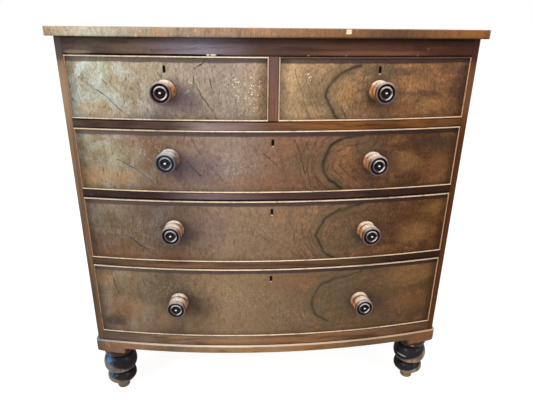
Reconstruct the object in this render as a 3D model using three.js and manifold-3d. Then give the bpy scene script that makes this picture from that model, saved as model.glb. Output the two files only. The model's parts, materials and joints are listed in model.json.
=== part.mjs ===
// Bow front chest of drawers, in millimetres, +Z up, the front faces -Y.
// Two short drawers over three long ones, in a veneered case on a plinth with four turned feet.
// Laid out with x = 0 on the centre line, y = 0 at the case's front corners and z = 0 at the floor.
import * as THREE from 'three';
import { mergeVertices } from 'three/addons/utils/BufferGeometryUtils.js';
import Module from 'manifold-3d';

const wasm = await Module();
wasm.setup();

// Case
const caseWidth = 1060;
const caseDepth = 460;
const bow = 54.4;
const sideThickness = 17.8;
const backThickness = 12;
const backRebate = 8;
const dividerThickness = 23.4;
const partitionThickness = 23.2;
const housingDepth = 6;
const housingStop = 26;
const friezeHeight = 41.5;
const railBack = 30;
const backRailHeight = 24;
const backRailDepth = 48;
const baseRailHeight = 35.4;
const bottomBoardThickness = 20;

// Top board
const topThickness = 21.7;
const topSideOverhang = 18;
const topFrontOverhang = 13;

// Plinth moulding with its corner blocks
const plinthHeight = 24.5;
const plinthFrontProjection = 4.2;
const plinthSideProjection = 8;
const plinthInnerDepth = 27;
const plinthCornerRadius = 7;
const blockWidth = 87;
const blockDepth = 92;
const blockDrop = 19;

// Turned feet: the axes of the front ones are inset from the case's corner, the back ones clear the wall
const footHeight = 179;
const footInset = 44.8;
const footWallGap = 4;
const pegRadius = 14;
const pegLength = 30;
const toeRadius = 13;
const toeBulge = 19.5;
const toeHeight = 13;
const lowerBunRadius = 46;
const lowerBunCore = 27;
const lowerBunHeight = 50;
const lowerBunRise = 28;
const lowerBunEdge = 42;
const lowerBunEdgeHeight = 41;
const lowerBunHip = 30;
const lowerBunHipHeight = 29;
const upperBunRadius = 52;
const upperBunCore = 31;
const upperBunHeight = 106;
const upperBunFall = 27;
const upperBunRise = 38;
const collarRadius = 47;
const collarCore = 38;
const collarHeight = 162;
const collarRise = 17;

// Drawers, with the heights of their fronts from the floor up
const lowerDrawerHeight = 228.1;
const middleDrawerHeight = 182.6;
const upperDrawerHeight = 166.4;
const topDrawerHeight = 154.5;
const frontThickness = 24;
const drawerSideThickness = 10;
const drawerBackThickness = 10;
const drawerSideDrop = 4;
const drawerBackDrop = 12;
const lapThickness = 13.5;
const bottomThickness = 7;
const bottomLift = 8;
const grooveDepth = 5;
const drawerBackSpace = 10;

// Cockbeads
const beadWidth = 3;
const beadSeat = 10;
const beadProud = 2.5;

// Knobs: one on each short drawer, two on each long one, the left ones set a little above the middle
const knobRadius = 27;
const knobProjection = 55;
const knobShankRadius = 8;
const knobSpread = 265.5;
const leftKnobLift = 10;
const rightKnobDrop = 1;
const shortKnobDrop = 3.5;

// Locks: a bolt behind each keyhole that shoots up into the rail above
const shortLockSpread = 265;
const keyholeDrop = 25;
const keyholeRadius = 3;
const keyholeSlotWidth = 3.4;
const keyholeSlotLength = 12.5;
const lockWidth = 60;
const lockHeight = 46;
const lockDepth = 12;
const boltWidth = 24;
const boltThickness = 5;
const boltHeight = 26;
const boltThrow = 8;
const boltRest = 0.5;
const mortiseMargin = 1.5;

// Clearances
const glueGap = 0.3;
const runningGap = 0.9;
const restGap = 0.3;
const topGap = 1.3;
const overrun = 5;

// How finely curves are cut: facets per half arc of the front, and round a turned piece and its hole
const longArcFacets = 9;
const shortArcFacets = 5;
const footFacets = 16;
const knobFacets = 16;
const bunFacets = 3;
const collarFacets = 2;
const keyholeFacets = 3;

// Knob outline from the seat to the middle of the face: shares of its radius and of its projection
const knobShares = [
  [0.87, 0], [1, 0.08], [1, 0.16], [0.72, 0.28], [0.72, 0.33], [0.95, 0.44],
  [0.97, 0.74], [1, 0.81], [1, 0.9], [0.92, 0.94], [0.82, 0.94], [0.72, 0.85],
  [0.62, 0.94], [0.48, 0.94], [0.36, 0.82], [0.15, 0.95],
];

// Heights
const plinthBottom = footHeight + blockDrop;
const plinthTop = plinthBottom + plinthHeight;
const caseBottom = plinthTop + glueGap;
const sillTop = caseBottom + baseRailHeight;
const halfWidth = caseWidth / 2;
const plinthEdge = halfWidth + plinthSideProjection;
const insideHalf = halfWidth - sideThickness;
const backInside = caseDepth - backThickness - glueGap;

// The bow: one circle through both front corners
const bowRadius = (halfWidth ** 2 + bow ** 2) / (2 * bow);
const bowCentreY = bowRadius - bow;

const wood = (color, roughness) => new THREE.MeshStandardMaterial({ color, roughness, metalness: 0 });
const figuredVeneer = wood('#7a5737', 0.42);
const caseVeneer = wood('#64422b', 0.42);
const topVeneer = wood('#8a6238', 0.42);
const plinthWood = wood('#83562f', 0.45);
const footWood = wood('#2f2220', 0.3);
const beadWood = wood('#b08b62', 0.45);
const knobWood = wood('#7b4a33', 0.35);
const drawerLining = wood('#b08f61', 0.7);
const pine = wood('#9a7448', 0.75);
const steel = new THREE.MeshStandardMaterial({ color: '#6f6a62', roughness: 0.45, metalness: 1 });

// y of the bowed face at x, a distance behind it (negative is proud of it)
function frontY(x, inset) {
  return bowCentreY - Math.sqrt((bowRadius - inset) ** 2 - x ** 2);
}

// the place and turn of something that stands square to the bowed face at x
function bowStation(x) {
  return { x, y: frontY(x, 0), turn: Math.asin(x / bowRadius) };
}

function addFrontCurve(shape, fromX, toX, inset) {
  const radius = bowRadius - inset;
  const angle = (x) => Math.asin(x / radius) - Math.PI / 2;
  shape.absarc(0, bowCentreY, radius, angle(fromX), angle(toX), toX < fromX);
}

// plan with a bowed front and a straight back
function bowedPlan(x0, x1, inset, back) {
  const shape = new THREE.Shape();
  addFrontCurve(shape, x0, x1, inset);
  shape.lineTo(x1, back);
  shape.lineTo(x0, back);
  return shape;
}

// plan of a strip that follows the bow, between two distances behind the face
function bowedStrip(x0, x1, frontInset, backInset) {
  const shape = new THREE.Shape();
  addFrontCurve(shape, x0, x1, frontInset);
  addFrontCurve(shape, x1, x0, backInset);
  return shape;
}

function raise(shape, bottom, top, curveSegments) {
  const depth = top - bottom;
  const geometry = new THREE.ExtrudeGeometry(shape, { depth, bevelEnabled: false, curveSegments });
  return geometry.translate(0, 0, bottom);
}

function block(x0, x1, y0, y1, z0, z1) {
  const geometry = new THREE.BoxGeometry(x1 - x0, y1 - y0, z1 - z0);
  return geometry.translate((x0 + x1) / 2, (y0 + y1) / 2, (z0 + z1) / 2);
}

// upright cylinder standing on z = bottom
function post(x, y, bottom, top, radius, facets) {
  const geometry = new THREE.CylinderGeometry(radius, radius, top - bottom, facets);
  return geometry.rotateX(Math.PI / 2).translate(x, y, (bottom + top) / 2);
}

// lathe a list of [radius, height] points about +Z
function turned(points, facets) {
  const outline = points.map(([r, z]) => new THREE.Vector2(r, z));
  return new THREE.LatheGeometry(outline, facets).rotateX(Math.PI / 2);
}

function toSolid(geometry) {
  const bare = geometry.clone();
  bare.deleteAttribute('normal');
  bare.deleteAttribute('uv');
  const merged = mergeVertices(bare);
  return new wasm.Manifold(new wasm.Mesh({
    numProp: 3,
    vertProperties: merged.attributes.position.array,
    triVerts: new Uint32Array(merged.index.array),
  }));
}

function toGeometry(solid) {
  const mesh = solid.getMesh();
  const geometry = new THREE.BufferGeometry();
  geometry.setAttribute('position', new THREE.BufferAttribute(new Float32Array(mesh.vertProperties), 3));
  geometry.setIndex(new THREE.BufferAttribute(new Uint32Array(mesh.triVerts), 1));
  geometry.computeVertexNormals();
  return geometry;
}

// join a list of geometries, then cut another list out of them
function carve(joined, cuts) {
  const [first, ...others] = joined.map(toSolid);
  const body = others.reduce((solid, other) => solid.add(other), first);
  return toGeometry(cuts.map(toSolid).reduce((solid, cut) => solid.subtract(cut), body));
}

function addPiece(parent, name, geometry, material) {
  const mesh = new THREE.Mesh(geometry, material);
  mesh.name = name;
  parent.add(mesh);
  return mesh;
}

// Locks: the recess behind a drawer front, the keyhole and the mortise that the bolt enters

function placeAtBow(geometry, station) {
  return geometry.rotateZ(station.turn).translate(station.x, station.y, 0);
}

function lockRecess(station, top) {
  const half = lockWidth / 2;
  const behind = frontThickness + overrun;
  const recess = block(-half, half, lockDepth, behind, top - lockHeight, top + overrun);
  return placeAtBow(recess, station);
}

function keyhole(station, top) {
  const centre = top - keyholeDrop;
  const half = keyholeSlotWidth / 2;
  const meet = Math.asin(half / keyholeRadius);
  const shape = new THREE.Shape();
  shape.absarc(0, 0, keyholeRadius, meet - Math.PI / 2, (3 * Math.PI) / 2 - meet, false);
  shape.lineTo(-half, -keyholeSlotLength);
  shape.lineTo(half, -keyholeSlotLength);
  const length = lockDepth + 2 * overrun;
  const geometry = raise(shape, overrun - length, overrun, keyholeFacets);
  geometry.rotateX(Math.PI / 2).translate(0, 0, centre);
  return placeAtBow(geometry, station);
}

function strikeMortise(station, underside) {
  const half = boltWidth / 2 + mortiseMargin;
  const y0 = lockDepth + glueGap - mortiseMargin;
  const y1 = lockDepth + glueGap + boltThickness + mortiseMargin;
  const mortise = block(-half, half, y0, y1, underside - overrun, underside + boltThrow + glueGap);
  return placeAtBow(mortise, station);
}

// Drawer rows from the bottom up, each on the shelf below it
const longLeft = -insideHalf + runningGap;
const longRight = insideHalf - runningGap;
const shortInner = partitionThickness / 2 + runningGap;
const rowHeights = [lowerDrawerHeight, middleDrawerHeight, upperDrawerHeight, topDrawerHeight];
const rows = [];
let shelfTop = sillTop;
for (const height of rowHeights) {
  const bottom = shelfTop + restGap;
  const ceiling = bottom + height + topGap;
  rows.push({ bottom, height, ceiling, shelf: shelfTop });
  shelfTop = ceiling + dividerThickness;
}
const [lowerRow, middleRow, upperRow, topRow] = rows;
const friezeBottom = topRow.ceiling;
const caseTop = friezeBottom + friezeHeight;
const topUnderside = caseTop + glueGap;

const longKnobs = [
  { suffix: '_left', x: -knobSpread, lift: leftKnobLift },
  { suffix: '_right', x: knobSpread, lift: -rightKnobDrop },
];
const shortDrawer = (name, x0, x1, lockX) => (
  { name, row: topRow, x0, x1, lockX, knobs: [{ suffix: '', x: lockX, lift: -shortKnobDrop }] }
);
const longDrawer = (name, row) => ({ name, row, x0: longLeft, x1: longRight, lockX: 0, knobs: longKnobs });
const drawers = [
  longDrawer('lower_drawer', lowerRow),
  longDrawer('middle_drawer', middleRow),
  longDrawer('upper_drawer', upperRow),
  shortDrawer('top_left_drawer', longLeft, -shortInner, -shortLockSpread),
  shortDrawer('top_right_drawer', shortInner, longRight, shortLockSpread),
];
const arcFacets = (drawer) => (drawer.row === topRow ? shortArcFacets : longArcFacets);

const chest = new THREE.Group();

// Sides: housed for the shelves and rebated for the back boards
function addSide(name, sign) {
  const outline = new THREE.Shape();
  outline.moveTo(halfWidth, 0);
  outline.lineTo(halfWidth, caseDepth);
  outline.lineTo(insideHalf + backRebate, caseDepth);
  outline.lineTo(insideHalf + backRebate, backInside);
  outline.lineTo(insideHalf, backInside);
  outline.lineTo(insideHalf, frontY(insideHalf, 0));
  const housings = rows.map(({ shelf }) => {
    const thickness = shelf === sillTop ? bottomBoardThickness : dividerThickness;
    return block(
      insideHalf - overrun, insideHalf + housingDepth, housingStop, backInside + overrun,
      shelf - thickness - glueGap, shelf + glueGap,
    );
  });
  const geometry = carve([raise(outline, caseBottom, caseTop, longArcFacets)], housings);
  addPiece(chest, name, sign < 0 ? mirrored(geometry) : geometry, caseVeneer);
}

// the same geometry on the other side of x = 0, with its faces turned to point out again
function mirrored(geometry) {
  const copy = geometry.clone().scale(-1, 1, 1);
  const index = copy.index.array;
  for (let i = 0; i < index.length; i += 3) {
    [index[i], index[i + 1]] = [index[i + 1], index[i]];
  }
  copy.computeVertexNormals();
  return copy;
}

// a shelf's plan: bowed face between the sides, and tongues that enter their housings
function shelfPlan(frontInset) {
  const edge = insideHalf - glueGap;
  const tongue = insideHalf + housingDepth - glueGap;
  const shoulder = housingStop + glueGap;
  const shape = new THREE.Shape();
  addFrontCurve(shape, -edge, edge, frontInset);
  shape.lineTo(edge, shoulder);
  shape.lineTo(tongue, shoulder);
  shape.lineTo(tongue, backInside - glueGap);
  shape.lineTo(-tongue, backInside - glueGap);
  shape.lineTo(-tongue, shoulder);
  shape.lineTo(-edge, shoulder);
  return shape;
}

function addDivider(name, row) {
  const locked = drawers.filter((drawer) => drawer.row === row);
  const mortises = locked.map((drawer) => strikeMortise(bowStation(drawer.lockX), row.ceiling));
  const blank = raise(shelfPlan(0), row.ceiling, row.ceiling + dividerThickness, longArcFacets);
  addPiece(chest, name, carve([blank], mortises), caseVeneer);
}

function addCase() {
  addSide('side_left', -1);
  addSide('side_right', 1);
  addDivider('divider_lower', lowerRow);
  addDivider('divider_middle', middleRow);
  addDivider('divider_upper', upperRow);

  const edge = insideHalf - glueGap;
  const baseRail = bowedPlan(-edge, edge, 0, railBack);
  addPiece(chest, 'base_rail', raise(baseRail, caseBottom, sillTop, longArcFacets), caseVeneer);

  const tongue = insideHalf + housingDepth - glueGap;
  const bottomFront = railBack + glueGap;
  const bottomZ = sillTop - bottomBoardThickness;
  const bottomBoard = block(-tongue, tongue, bottomFront, backInside - glueGap, bottomZ, sillTop);
  addPiece(chest, 'bottom_board', bottomBoard, pine);

  const friezeMortises = drawers.filter((drawer) => drawer.row === topRow)
    .map((drawer) => strikeMortise(bowStation(drawer.lockX), friezeBottom));
  const frieze = raise(bowedPlan(-edge, edge, 0, railBack), friezeBottom, caseTop, longArcFacets);
  addPiece(chest, 'frieze_rail', carve([frieze], friezeMortises), caseVeneer);

  const railEnd = backInside - glueGap;
  const backRail = block(-edge, edge, railEnd - backRailDepth, railEnd, caseTop - backRailHeight, caseTop);
  addPiece(chest, 'back_top_rail', backRail, pine);

  const partition = bowedPlan(-partitionThickness / 2, partitionThickness / 2, 0, backInside - glueGap);
  const partitionSolid = raise(partition, topRow.shelf + glueGap, friezeBottom - glueGap, 1);
  addPiece(chest, 'partition', partitionSolid, caseVeneer);

  const backEdge = insideHalf + backRebate - glueGap;
  const backBoards = block(-backEdge, backEdge, caseDepth - backThickness, caseDepth, caseBottom, caseTop);
  addPiece(chest, 'back_boards', backBoards, pine);

  const topEdge = halfWidth + topSideOverhang;
  const topPlan = bowedPlan(-topEdge, topEdge, -topFrontOverhang, caseDepth);
  const topBoard = raise(topPlan, topUnderside, topUnderside + topThickness, longArcFacets);
  addPiece(chest, 'top_board', topBoard, topVeneer);
}

// outer line of the plinth, from the back left corner round the front to the back right
function addPlinthOutline(shape) {
  const corner = frontY(plinthEdge, -plinthFrontProjection);
  const start = plinthEdge - plinthCornerRadius;
  const startY = frontY(start, -plinthFrontProjection);
  shape.moveTo(-plinthEdge, caseDepth);
  shape.lineTo(-plinthEdge, corner + plinthCornerRadius);
  shape.quadraticCurveTo(-plinthEdge, corner, -start, startY);
  addFrontCurve(shape, -start, start, -plinthFrontProjection);
  shape.quadraticCurveTo(plinthEdge, corner, plinthEdge, corner + plinthCornerRadius);
  shape.lineTo(plinthEdge, caseDepth);
}

function footPlaces() {
  const x = halfWidth - footInset;
  const back = caseDepth - upperBunRadius - footWallGap;
  return {
    foot_front_left: [-x, footInset], foot_front_right: [x, footInset],
    foot_back_left: [-x, back], foot_back_right: [x, back],
  };
}

function addPlinth() {
  const inner = halfWidth - plinthInnerDepth;
  const moulding = new THREE.Shape();
  addPlinthOutline(moulding);
  moulding.lineTo(inner, caseDepth);
  moulding.lineTo(inner, frontY(inner, plinthInnerDepth));
  addFrontCurve(moulding, inner, -inner, plinthInnerDepth);
  moulding.lineTo(-inner, caseDepth);
  const ring = raise(moulding, plinthBottom, plinthTop, longArcFacets);

  const footprint = new THREE.Shape();
  addPlinthOutline(footprint);
  const slab = toSolid(raise(footprint, footHeight, plinthTop, longArcFacets));
  const outside = plinthEdge + overrun;
  const blockEdge = plinthEdge - blockWidth;
  const corner = frontY(plinthEdge, -plinthFrontProjection);
  const ends = [[-bow - overrun, corner + blockDepth], [caseDepth - blockDepth, caseDepth + overrun]];
  const blocks = [[-outside, -blockEdge], [blockEdge, outside]].flatMap(([x0, x1]) => ends.map(([y0, y1]) => {
    const region = toSolid(block(x0, x1, y0, y1, footHeight - overrun, plinthTop + overrun));
    return toGeometry(slab.intersect(region));
  }));

  const holes = Object.values(footPlaces()).map(([x, y]) => post(
    x, y, footHeight - overrun, footHeight + pegLength + glueGap, pegRadius + glueGap, footFacets,
  ));
  addPiece(chest, 'plinth', carve([ring, ...blocks], holes), plinthWood);
}

// half an ellipse of a turned bun: from its lower to its upper edge round a core
function bunPoints(core, radius, centre, fall, rise, facets) {
  const points = [];
  for (let i = -facets; i <= facets; i += 1) {
    const angle = (i / facets) * (Math.PI / 2);
    const reach = i < 0 ? fall : rise;
    points.push([core + (radius - core) * Math.cos(angle), centre + reach * Math.sin(angle)]);
  }
  return points;
}

function footGeometry() {
  const top = footHeight - glueGap;
  const rise = lowerBunRise;
  const lowerBun = bunPoints(lowerBunCore, lowerBunRadius, lowerBunHeight, rise, rise, bunFacets);
  return turned([
    [0, 0],
    [toeRadius, 0],
    [toeBulge, toeHeight / 2],
    [toeBulge, toeHeight],
    [lowerBunHip, lowerBunHipHeight],
    [lowerBunEdge, lowerBunEdgeHeight],
    ...lowerBun.slice(bunFacets),
    ...bunPoints(upperBunCore, upperBunRadius, upperBunHeight, upperBunFall, upperBunRise, bunFacets),
    ...bunPoints(collarCore, collarRadius, collarHeight, collarRise, top - collarHeight, collarFacets),
    [pegRadius, top],
    [pegRadius, footHeight + pegLength],
    [0, footHeight + pegLength],
  ], footFacets);
}

function addFeet() {
  const geometry = footGeometry();
  for (const [name, [x, y]] of Object.entries(footPlaces())) {
    addPiece(chest, name, geometry, footWood).position.set(x, y, 0);
  }
}

// Knob turned about +Z with its seat at z = 0, then laid along -Y
function knobGeometry() {
  const body = knobShares.map(([r, z]) => [r * knobRadius, glueGap + z * (knobProjection - glueGap)]);
  return turned([
    [0, -frontThickness],
    [knobShankRadius, -frontThickness],
    [knobShankRadius, glueGap],
    ...body,
    [0, knobProjection],
  ], knobFacets).rotateX(Math.PI / 2);
}

function knobHole(station, z) {
  const hole = post(0, 0, -frontThickness - overrun, overrun, knobShankRadius + glueGap, knobFacets);
  return placeAtBow(hole.rotateX(Math.PI / 2), station).translate(0, 0, z);
}

// The front is a bowed board, rebated all round for the cockbead and at its ends for the sides
function drawerFront(drawer, lock, knobPlaces) {
  const { x0, x1, row: { height } } = drawer;
  const facets = arcFacets(drawer);
  const field = beadWidth + glueGap;
  const face = raise(bowedStrip(x0 + field, x1 - field, 0, frontThickness), field, height - field, facets);
  const rear = raise(bowedStrip(x0, x1, beadSeat + glueGap, frontThickness), 0, height, facets);
  const sideCuts = [x0, x1].map((x) => {
    const reach = drawerSideThickness + glueGap;
    const [from, to] = x === x0 ? [x0 - overrun, x0 + reach] : [x1 - reach, x1 + overrun];
    const shoulder = sideFront(x) - glueGap;
    return block(from, to, shoulder, shoulder + frontThickness + bow, -overrun, height + overrun);
  });
  const inset = drawerSideThickness - grooveDepth;
  const grooveFront = frontThickness - grooveDepth;
  const groove = raise(
    bowedStrip(x0 + inset, x1 - inset, grooveFront, frontThickness + overrun),
    bottomLift - glueGap, bottomLift + bottomThickness + glueGap, facets,
  );
  const holes = knobPlaces.map(({ station, z }) => knobHole(station, z));
  const lockCuts = [lockRecess(lock, height), keyhole(lock, height)];
  return carve([face, rear], [...sideCuts, groove, ...lockCuts, ...holes]);
}

// a side board's front end stops at the lap of the drawer front
function sideFront(x) {
  return frontY(x, lapThickness);
}

function drawerSide(drawer, atLeft) {
  const { x0, x1, row: { height } } = drawer;
  const back = backInside - drawerBackSpace;
  const inner = atLeft ? x0 + drawerSideThickness : x1 - drawerSideThickness;
  const outer = atLeft ? x0 : x1;
  const [boardLeft, boardRight] = atLeft ? [outer, inner] : [inner, outer];
  const board = block(boardLeft, boardRight, sideFront(outer), back, 0, height - drawerSideDrop);
  const [grooveLeft, grooveRight] = atLeft
    ? [inner - grooveDepth, inner + overrun]
    : [inner - overrun, inner + grooveDepth];
  const groove = block(
    grooveLeft, grooveRight, sideFront(outer) - overrun, back + overrun,
    bottomLift - glueGap, bottomLift + bottomThickness + glueGap,
  );
  return carve([board], [groove]);
}

function addDrawer(drawer) {
  const { name, x0, x1, row: { bottom, height }, lockX, knobs } = drawer;
  const group = new THREE.Group();
  group.position.z = bottom;
  chest.add(group);
  const back = backInside - drawerBackSpace;
  const lock = bowStation(lockX);
  const knobPlaces = knobs.map(({ suffix, x, lift }) => (
    { suffix, station: bowStation(x), z: height / 2 + lift }
  ));

  addPiece(group, `${name}_front`, drawerFront(drawer, lock, knobPlaces), figuredVeneer);
  addPiece(group, `${name}_side_left`, drawerSide(drawer, true), drawerLining);
  addPiece(group, `${name}_side_right`, drawerSide(drawer, false), drawerLining);

  const inset = drawerSideThickness - grooveDepth + glueGap;
  const bottomPlan = bowedPlan(x0 + inset, x1 - inset, frontThickness - grooveDepth + glueGap, back);
  const panel = raise(bottomPlan, bottomLift, bottomLift + bottomThickness, arcFacets(drawer));
  addPiece(group, `${name}_bottom`, panel, drawerLining);

  const backInset = drawerSideThickness + glueGap;
  const backBottom = bottomLift + bottomThickness + glueGap;
  const backBoard = block(
    x0 + backInset, x1 - backInset, back - drawerBackThickness, back, backBottom, height - drawerBackDrop,
  );
  addPiece(group, `${name}_back`, backBoard, drawerLining);

  const beadBlank = raise(bowedStrip(x0, x1, -beadProud, beadSeat), 0, height, arcFacets(drawer));
  const beadHole = block(
    x0 + beadWidth, x1 - beadWidth, -bow - frontThickness, frontThickness, beadWidth, height - beadWidth,
  );
  addPiece(group, `${name}_cockbead`, carve([beadBlank], [beadHole]), beadWood);

  const bolt = block(
    -boltWidth / 2, boltWidth / 2, lockDepth + glueGap, lockDepth + glueGap + boltThickness, -boltHeight, 0,
  );
  const boltMesh = addPiece(group, `${name}_lock_bolt`, bolt, steel);
  boltMesh.rotation.z = lock.turn;
  boltMesh.position.set(lock.x, lock.y, height - boltRest);

  for (const { suffix, station, z } of knobPlaces) {
    const knob = addPiece(group, `${name}_knob${suffix}`, knobGeometry(), knobWood);
    knob.rotation.z = station.turn;
    knob.position.set(station.x, station.y, z);
  }
}

addCase();
addPlinth();
addFeet();
drawers.forEach(addDrawer);

// the finished chest stands with the middle of its footprint over the origin
const box = new THREE.Box3().setFromObject(chest, true);
const centre = box.getCenter(new THREE.Vector3());
chest.position.set(-centre.x, -centre.y, -box.min.z);

export default chest;
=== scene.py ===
# %% [markdown]
# # A bow front chest of drawers
#
# The chest is already there as plain, exact solids at their real size. This lesson gives it the look of
# an old piece of furniture: soft arrises, round turnings, locks and nails, and the woods it is made of.
# Nothing is moved or resized, so each new piece takes its place from the solid that it dresses.

# %% Load the solids
import math
from contextlib import contextmanager
from functools import reduce
from types import SimpleNamespace

import bmesh
import bpy
from mathutils import Matrix, Vector
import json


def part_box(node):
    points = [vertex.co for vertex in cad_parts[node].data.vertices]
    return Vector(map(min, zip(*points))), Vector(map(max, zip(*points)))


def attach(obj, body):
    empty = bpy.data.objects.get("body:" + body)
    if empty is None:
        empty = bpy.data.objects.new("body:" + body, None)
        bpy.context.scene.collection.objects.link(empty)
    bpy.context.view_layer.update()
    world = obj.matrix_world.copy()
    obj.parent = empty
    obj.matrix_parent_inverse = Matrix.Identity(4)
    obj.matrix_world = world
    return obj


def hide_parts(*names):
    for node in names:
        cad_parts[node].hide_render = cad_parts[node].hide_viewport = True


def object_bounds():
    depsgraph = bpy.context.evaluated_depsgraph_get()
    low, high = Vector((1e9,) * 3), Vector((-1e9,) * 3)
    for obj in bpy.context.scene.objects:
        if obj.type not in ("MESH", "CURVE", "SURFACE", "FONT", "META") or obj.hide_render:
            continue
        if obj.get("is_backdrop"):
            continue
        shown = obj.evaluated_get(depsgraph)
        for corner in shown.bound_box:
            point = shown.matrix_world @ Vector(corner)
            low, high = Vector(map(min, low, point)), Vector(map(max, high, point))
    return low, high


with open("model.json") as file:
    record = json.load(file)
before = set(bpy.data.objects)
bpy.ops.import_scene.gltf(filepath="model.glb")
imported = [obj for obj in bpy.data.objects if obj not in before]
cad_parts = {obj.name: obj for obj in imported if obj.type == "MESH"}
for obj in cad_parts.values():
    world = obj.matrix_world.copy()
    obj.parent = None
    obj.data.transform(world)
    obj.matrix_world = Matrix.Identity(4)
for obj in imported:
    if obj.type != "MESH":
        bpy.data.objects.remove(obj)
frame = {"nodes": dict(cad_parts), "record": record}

cad_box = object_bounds()
bpy.ops.object.select_all(action="DESELECT")
bodies = frame["record"]["behaviour"]["bodies"]
body_of = {node: body for body, nodes in bodies.items() for node in nodes}

# %% [markdown]
# ## The bow
#
# The face of the chest is one large arc through both front corners, and knobs, locks and beads stand on
# it. Three points give its circle: the two corners and the foremost point in the middle.

# %% The circle of the bow
MM = 0.001

case_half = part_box("side_right")[1].x
side_points = [vertex.co for vertex in frame["nodes"]["side_right"].data.vertices]
corner_y = min(point.y for point in side_points if point.x > case_half - 0.1 * MM)
middle_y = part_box("base_rail")[0].y
bow = corner_y - middle_y
bow_radius = (case_half ** 2 + bow ** 2) / (2 * bow)
bow_centre_y = middle_y + bow_radius


def turn(degrees, axis):
    return Matrix.Rotation(math.radians(degrees), 4, axis)


def front_y(x, inset=0.0):
    """y of the bowed face at x, a distance behind it."""
    return bow_centre_y - math.sqrt((bow_radius - inset) ** 2 - x ** 2)


def at_bow(x, z):
    """The place and turn of something that stands square to the bowed face."""
    angle = math.degrees(math.asin(x / bow_radius))
    return Matrix.Translation((x, front_y(x), z)) @ turn(angle, "Z")


def axis_of(node):
    """The middle of a turned solid: the mean of its points lies on its axis."""
    points = [vertex.co for vertex in frame["nodes"][node].data.vertices]
    return sum(points, Vector()) / len(points)


def station_of(node):
    """x on the bowed face of something that stands square to it."""
    heart = axis_of(node)
    return bow_radius * math.sin(math.atan2(heart.x, bow_centre_y - heart.y))


print(f"the bow is {bow / MM:.1f} mm deep, on a circle of {bow_radius:.3f} m")

# %% [markdown]
# ## Camera, floor and light
#
# The photographer stood close to the chest, a little left of its middle, with the lens at the height of
# the top and tipped down, so the sides lean in towards the feet. The light is a plain soft studio, at a
# level where a colour shows about as it is written.

# %% The camera
PHOTO_WIDTH = 533
FOCAL_PIXELS = 449.35
SENSOR = 36.0

camera = bpy.data.objects.new("camera", bpy.data.cameras.new("camera"))
bpy.context.scene.collection.objects.link(camera)
camera.data.sensor_fit = "HORIZONTAL"
camera.data.sensor_width = SENSOR
camera.data.lens = FOCAL_PIXELS / PHOTO_WIDTH * SENSOR
eye = Matrix.Translation((-0.0846, corner_y - 1.1778, 1.1313))
camera.matrix_world = eye @ turn(-3.54, "Z") @ turn(90 - 21.02, "X") @ turn(0.54, "Z")
bpy.context.scene.camera = camera
bpy.context.scene.view_settings.view_transform = "Standard"
print(f"lens {camera.data.lens:.1f} mm, {camera.location.z:.2f} m above the floor")

# %% [markdown]
# A finish is a sum of noises, masks and colours. One class wraps a socket, so that Python's own + - * /
# add the Math nodes. The other holds a material's tree and adds any other node.

# %% Shader sums written as Python
def sum_of(operation):
    """A method that joins a value to another by one Math node."""
    return lambda value, other: value.math(operation, other)


class Value:
    """A number or colour on its way through a node tree."""

    def __init__(self, tree, socket):
        self.tree = tree
        self.socket = socket

    def math(self, operation, *others):
        return self.tree.math(operation, self, *others)

    __add__ = __radd__ = sum_of("ADD")
    __mul__ = __rmul__ = sum_of("MULTIPLY")
    __sub__ = sum_of("SUBTRACT")
    __truediv__ = sum_of("DIVIDE")
    __pow__ = sum_of("POWER")
    least = sum_of("MINIMUM")
    most = sum_of("MAXIMUM")

    def __rsub__(self, other):
        return self.tree.math("SUBTRACT", other, self)

    def size(self):
        return self.math("ABSOLUTE")

    def rise(self, low, high):
        """0 below low, 1 above high and a smooth climb between them."""
        settings = {"interpolation_type": "SMOOTHSTEP"}
        return self.tree.add("ShaderNodeMapRange", settings, {0: self, 1: low, 2: high})

    def fall(self, low, high):
        return 1 - self.rise(low, high)

    def between(self, low, high, soft):
        """1 between two limits, with soft ends."""
        return self.rise(low - soft, low + soft) * self.fall(high - soft, high + soft)


def paint(*parts):
    """A colour as a paint chart gives it, 0 to 255, made linear for the shader."""
    shares = [part / 255 for part in parts]
    return (*(s / 12.92 if s <= 0.04045 else ((s + 0.055) / 1.055) ** 2.4 for s in shares), 1.0)


def set_stops(elements, stops):
    """Fill a colour ramp, which comes with one stop at each end."""
    elements[0].position = stops[0][0]
    elements[-1].position = stops[-1][0]
    for place, _ in stops[1:-1]:
        elements.new(place)
    for element, (_, colour) in zip(elements, stops):
        element.color = colour


class Tree:
    """The nodes of one material or of the world."""

    def __init__(self, owner):
        owner.use_nodes = True
        self.nodes = owner.node_tree.nodes
        self.links = owner.node_tree.links

    def add(self, kind, settings=None, inputs=None, output=0):
        node = self.nodes.new(kind)
        for key, setting in (settings or {}).items():
            if key == "stops":
                set_stops(node.color_ramp.elements, setting)
            else:
                setattr(node, key, setting)
        for key, value in (inputs or {}).items():
            self.feed(node.inputs[key], value)
        return Value(self, node.outputs[output]) if node.outputs else None

    def feed(self, socket, value):
        if isinstance(value, Value):
            self.links.new(value.socket, socket)
        else:
            socket.default_value = value

    def math(self, operation, *parts):
        return self.add("ShaderNodeMath", {"operation": operation}, dict(enumerate(parts)))

    def vector(self, operation, *parts, output=0):
        return self.add("ShaderNodeVectorMath", {"operation": operation}, dict(enumerate(parts)), output)

    def scaled(self, vector, factor):
        return self.add("ShaderNodeVectorMath", {"operation": "SCALE"}, {0: vector, 3: factor})

    def light_path(self, ray):
        return self.add("ShaderNodeLightPath", output=ray)


print("shader sums are ready")

# %% World, floor and lamps
WORLD_LIGHT = 0.5
WHITE = (1.0, 1.0, 1.0, 1.0)

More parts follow.
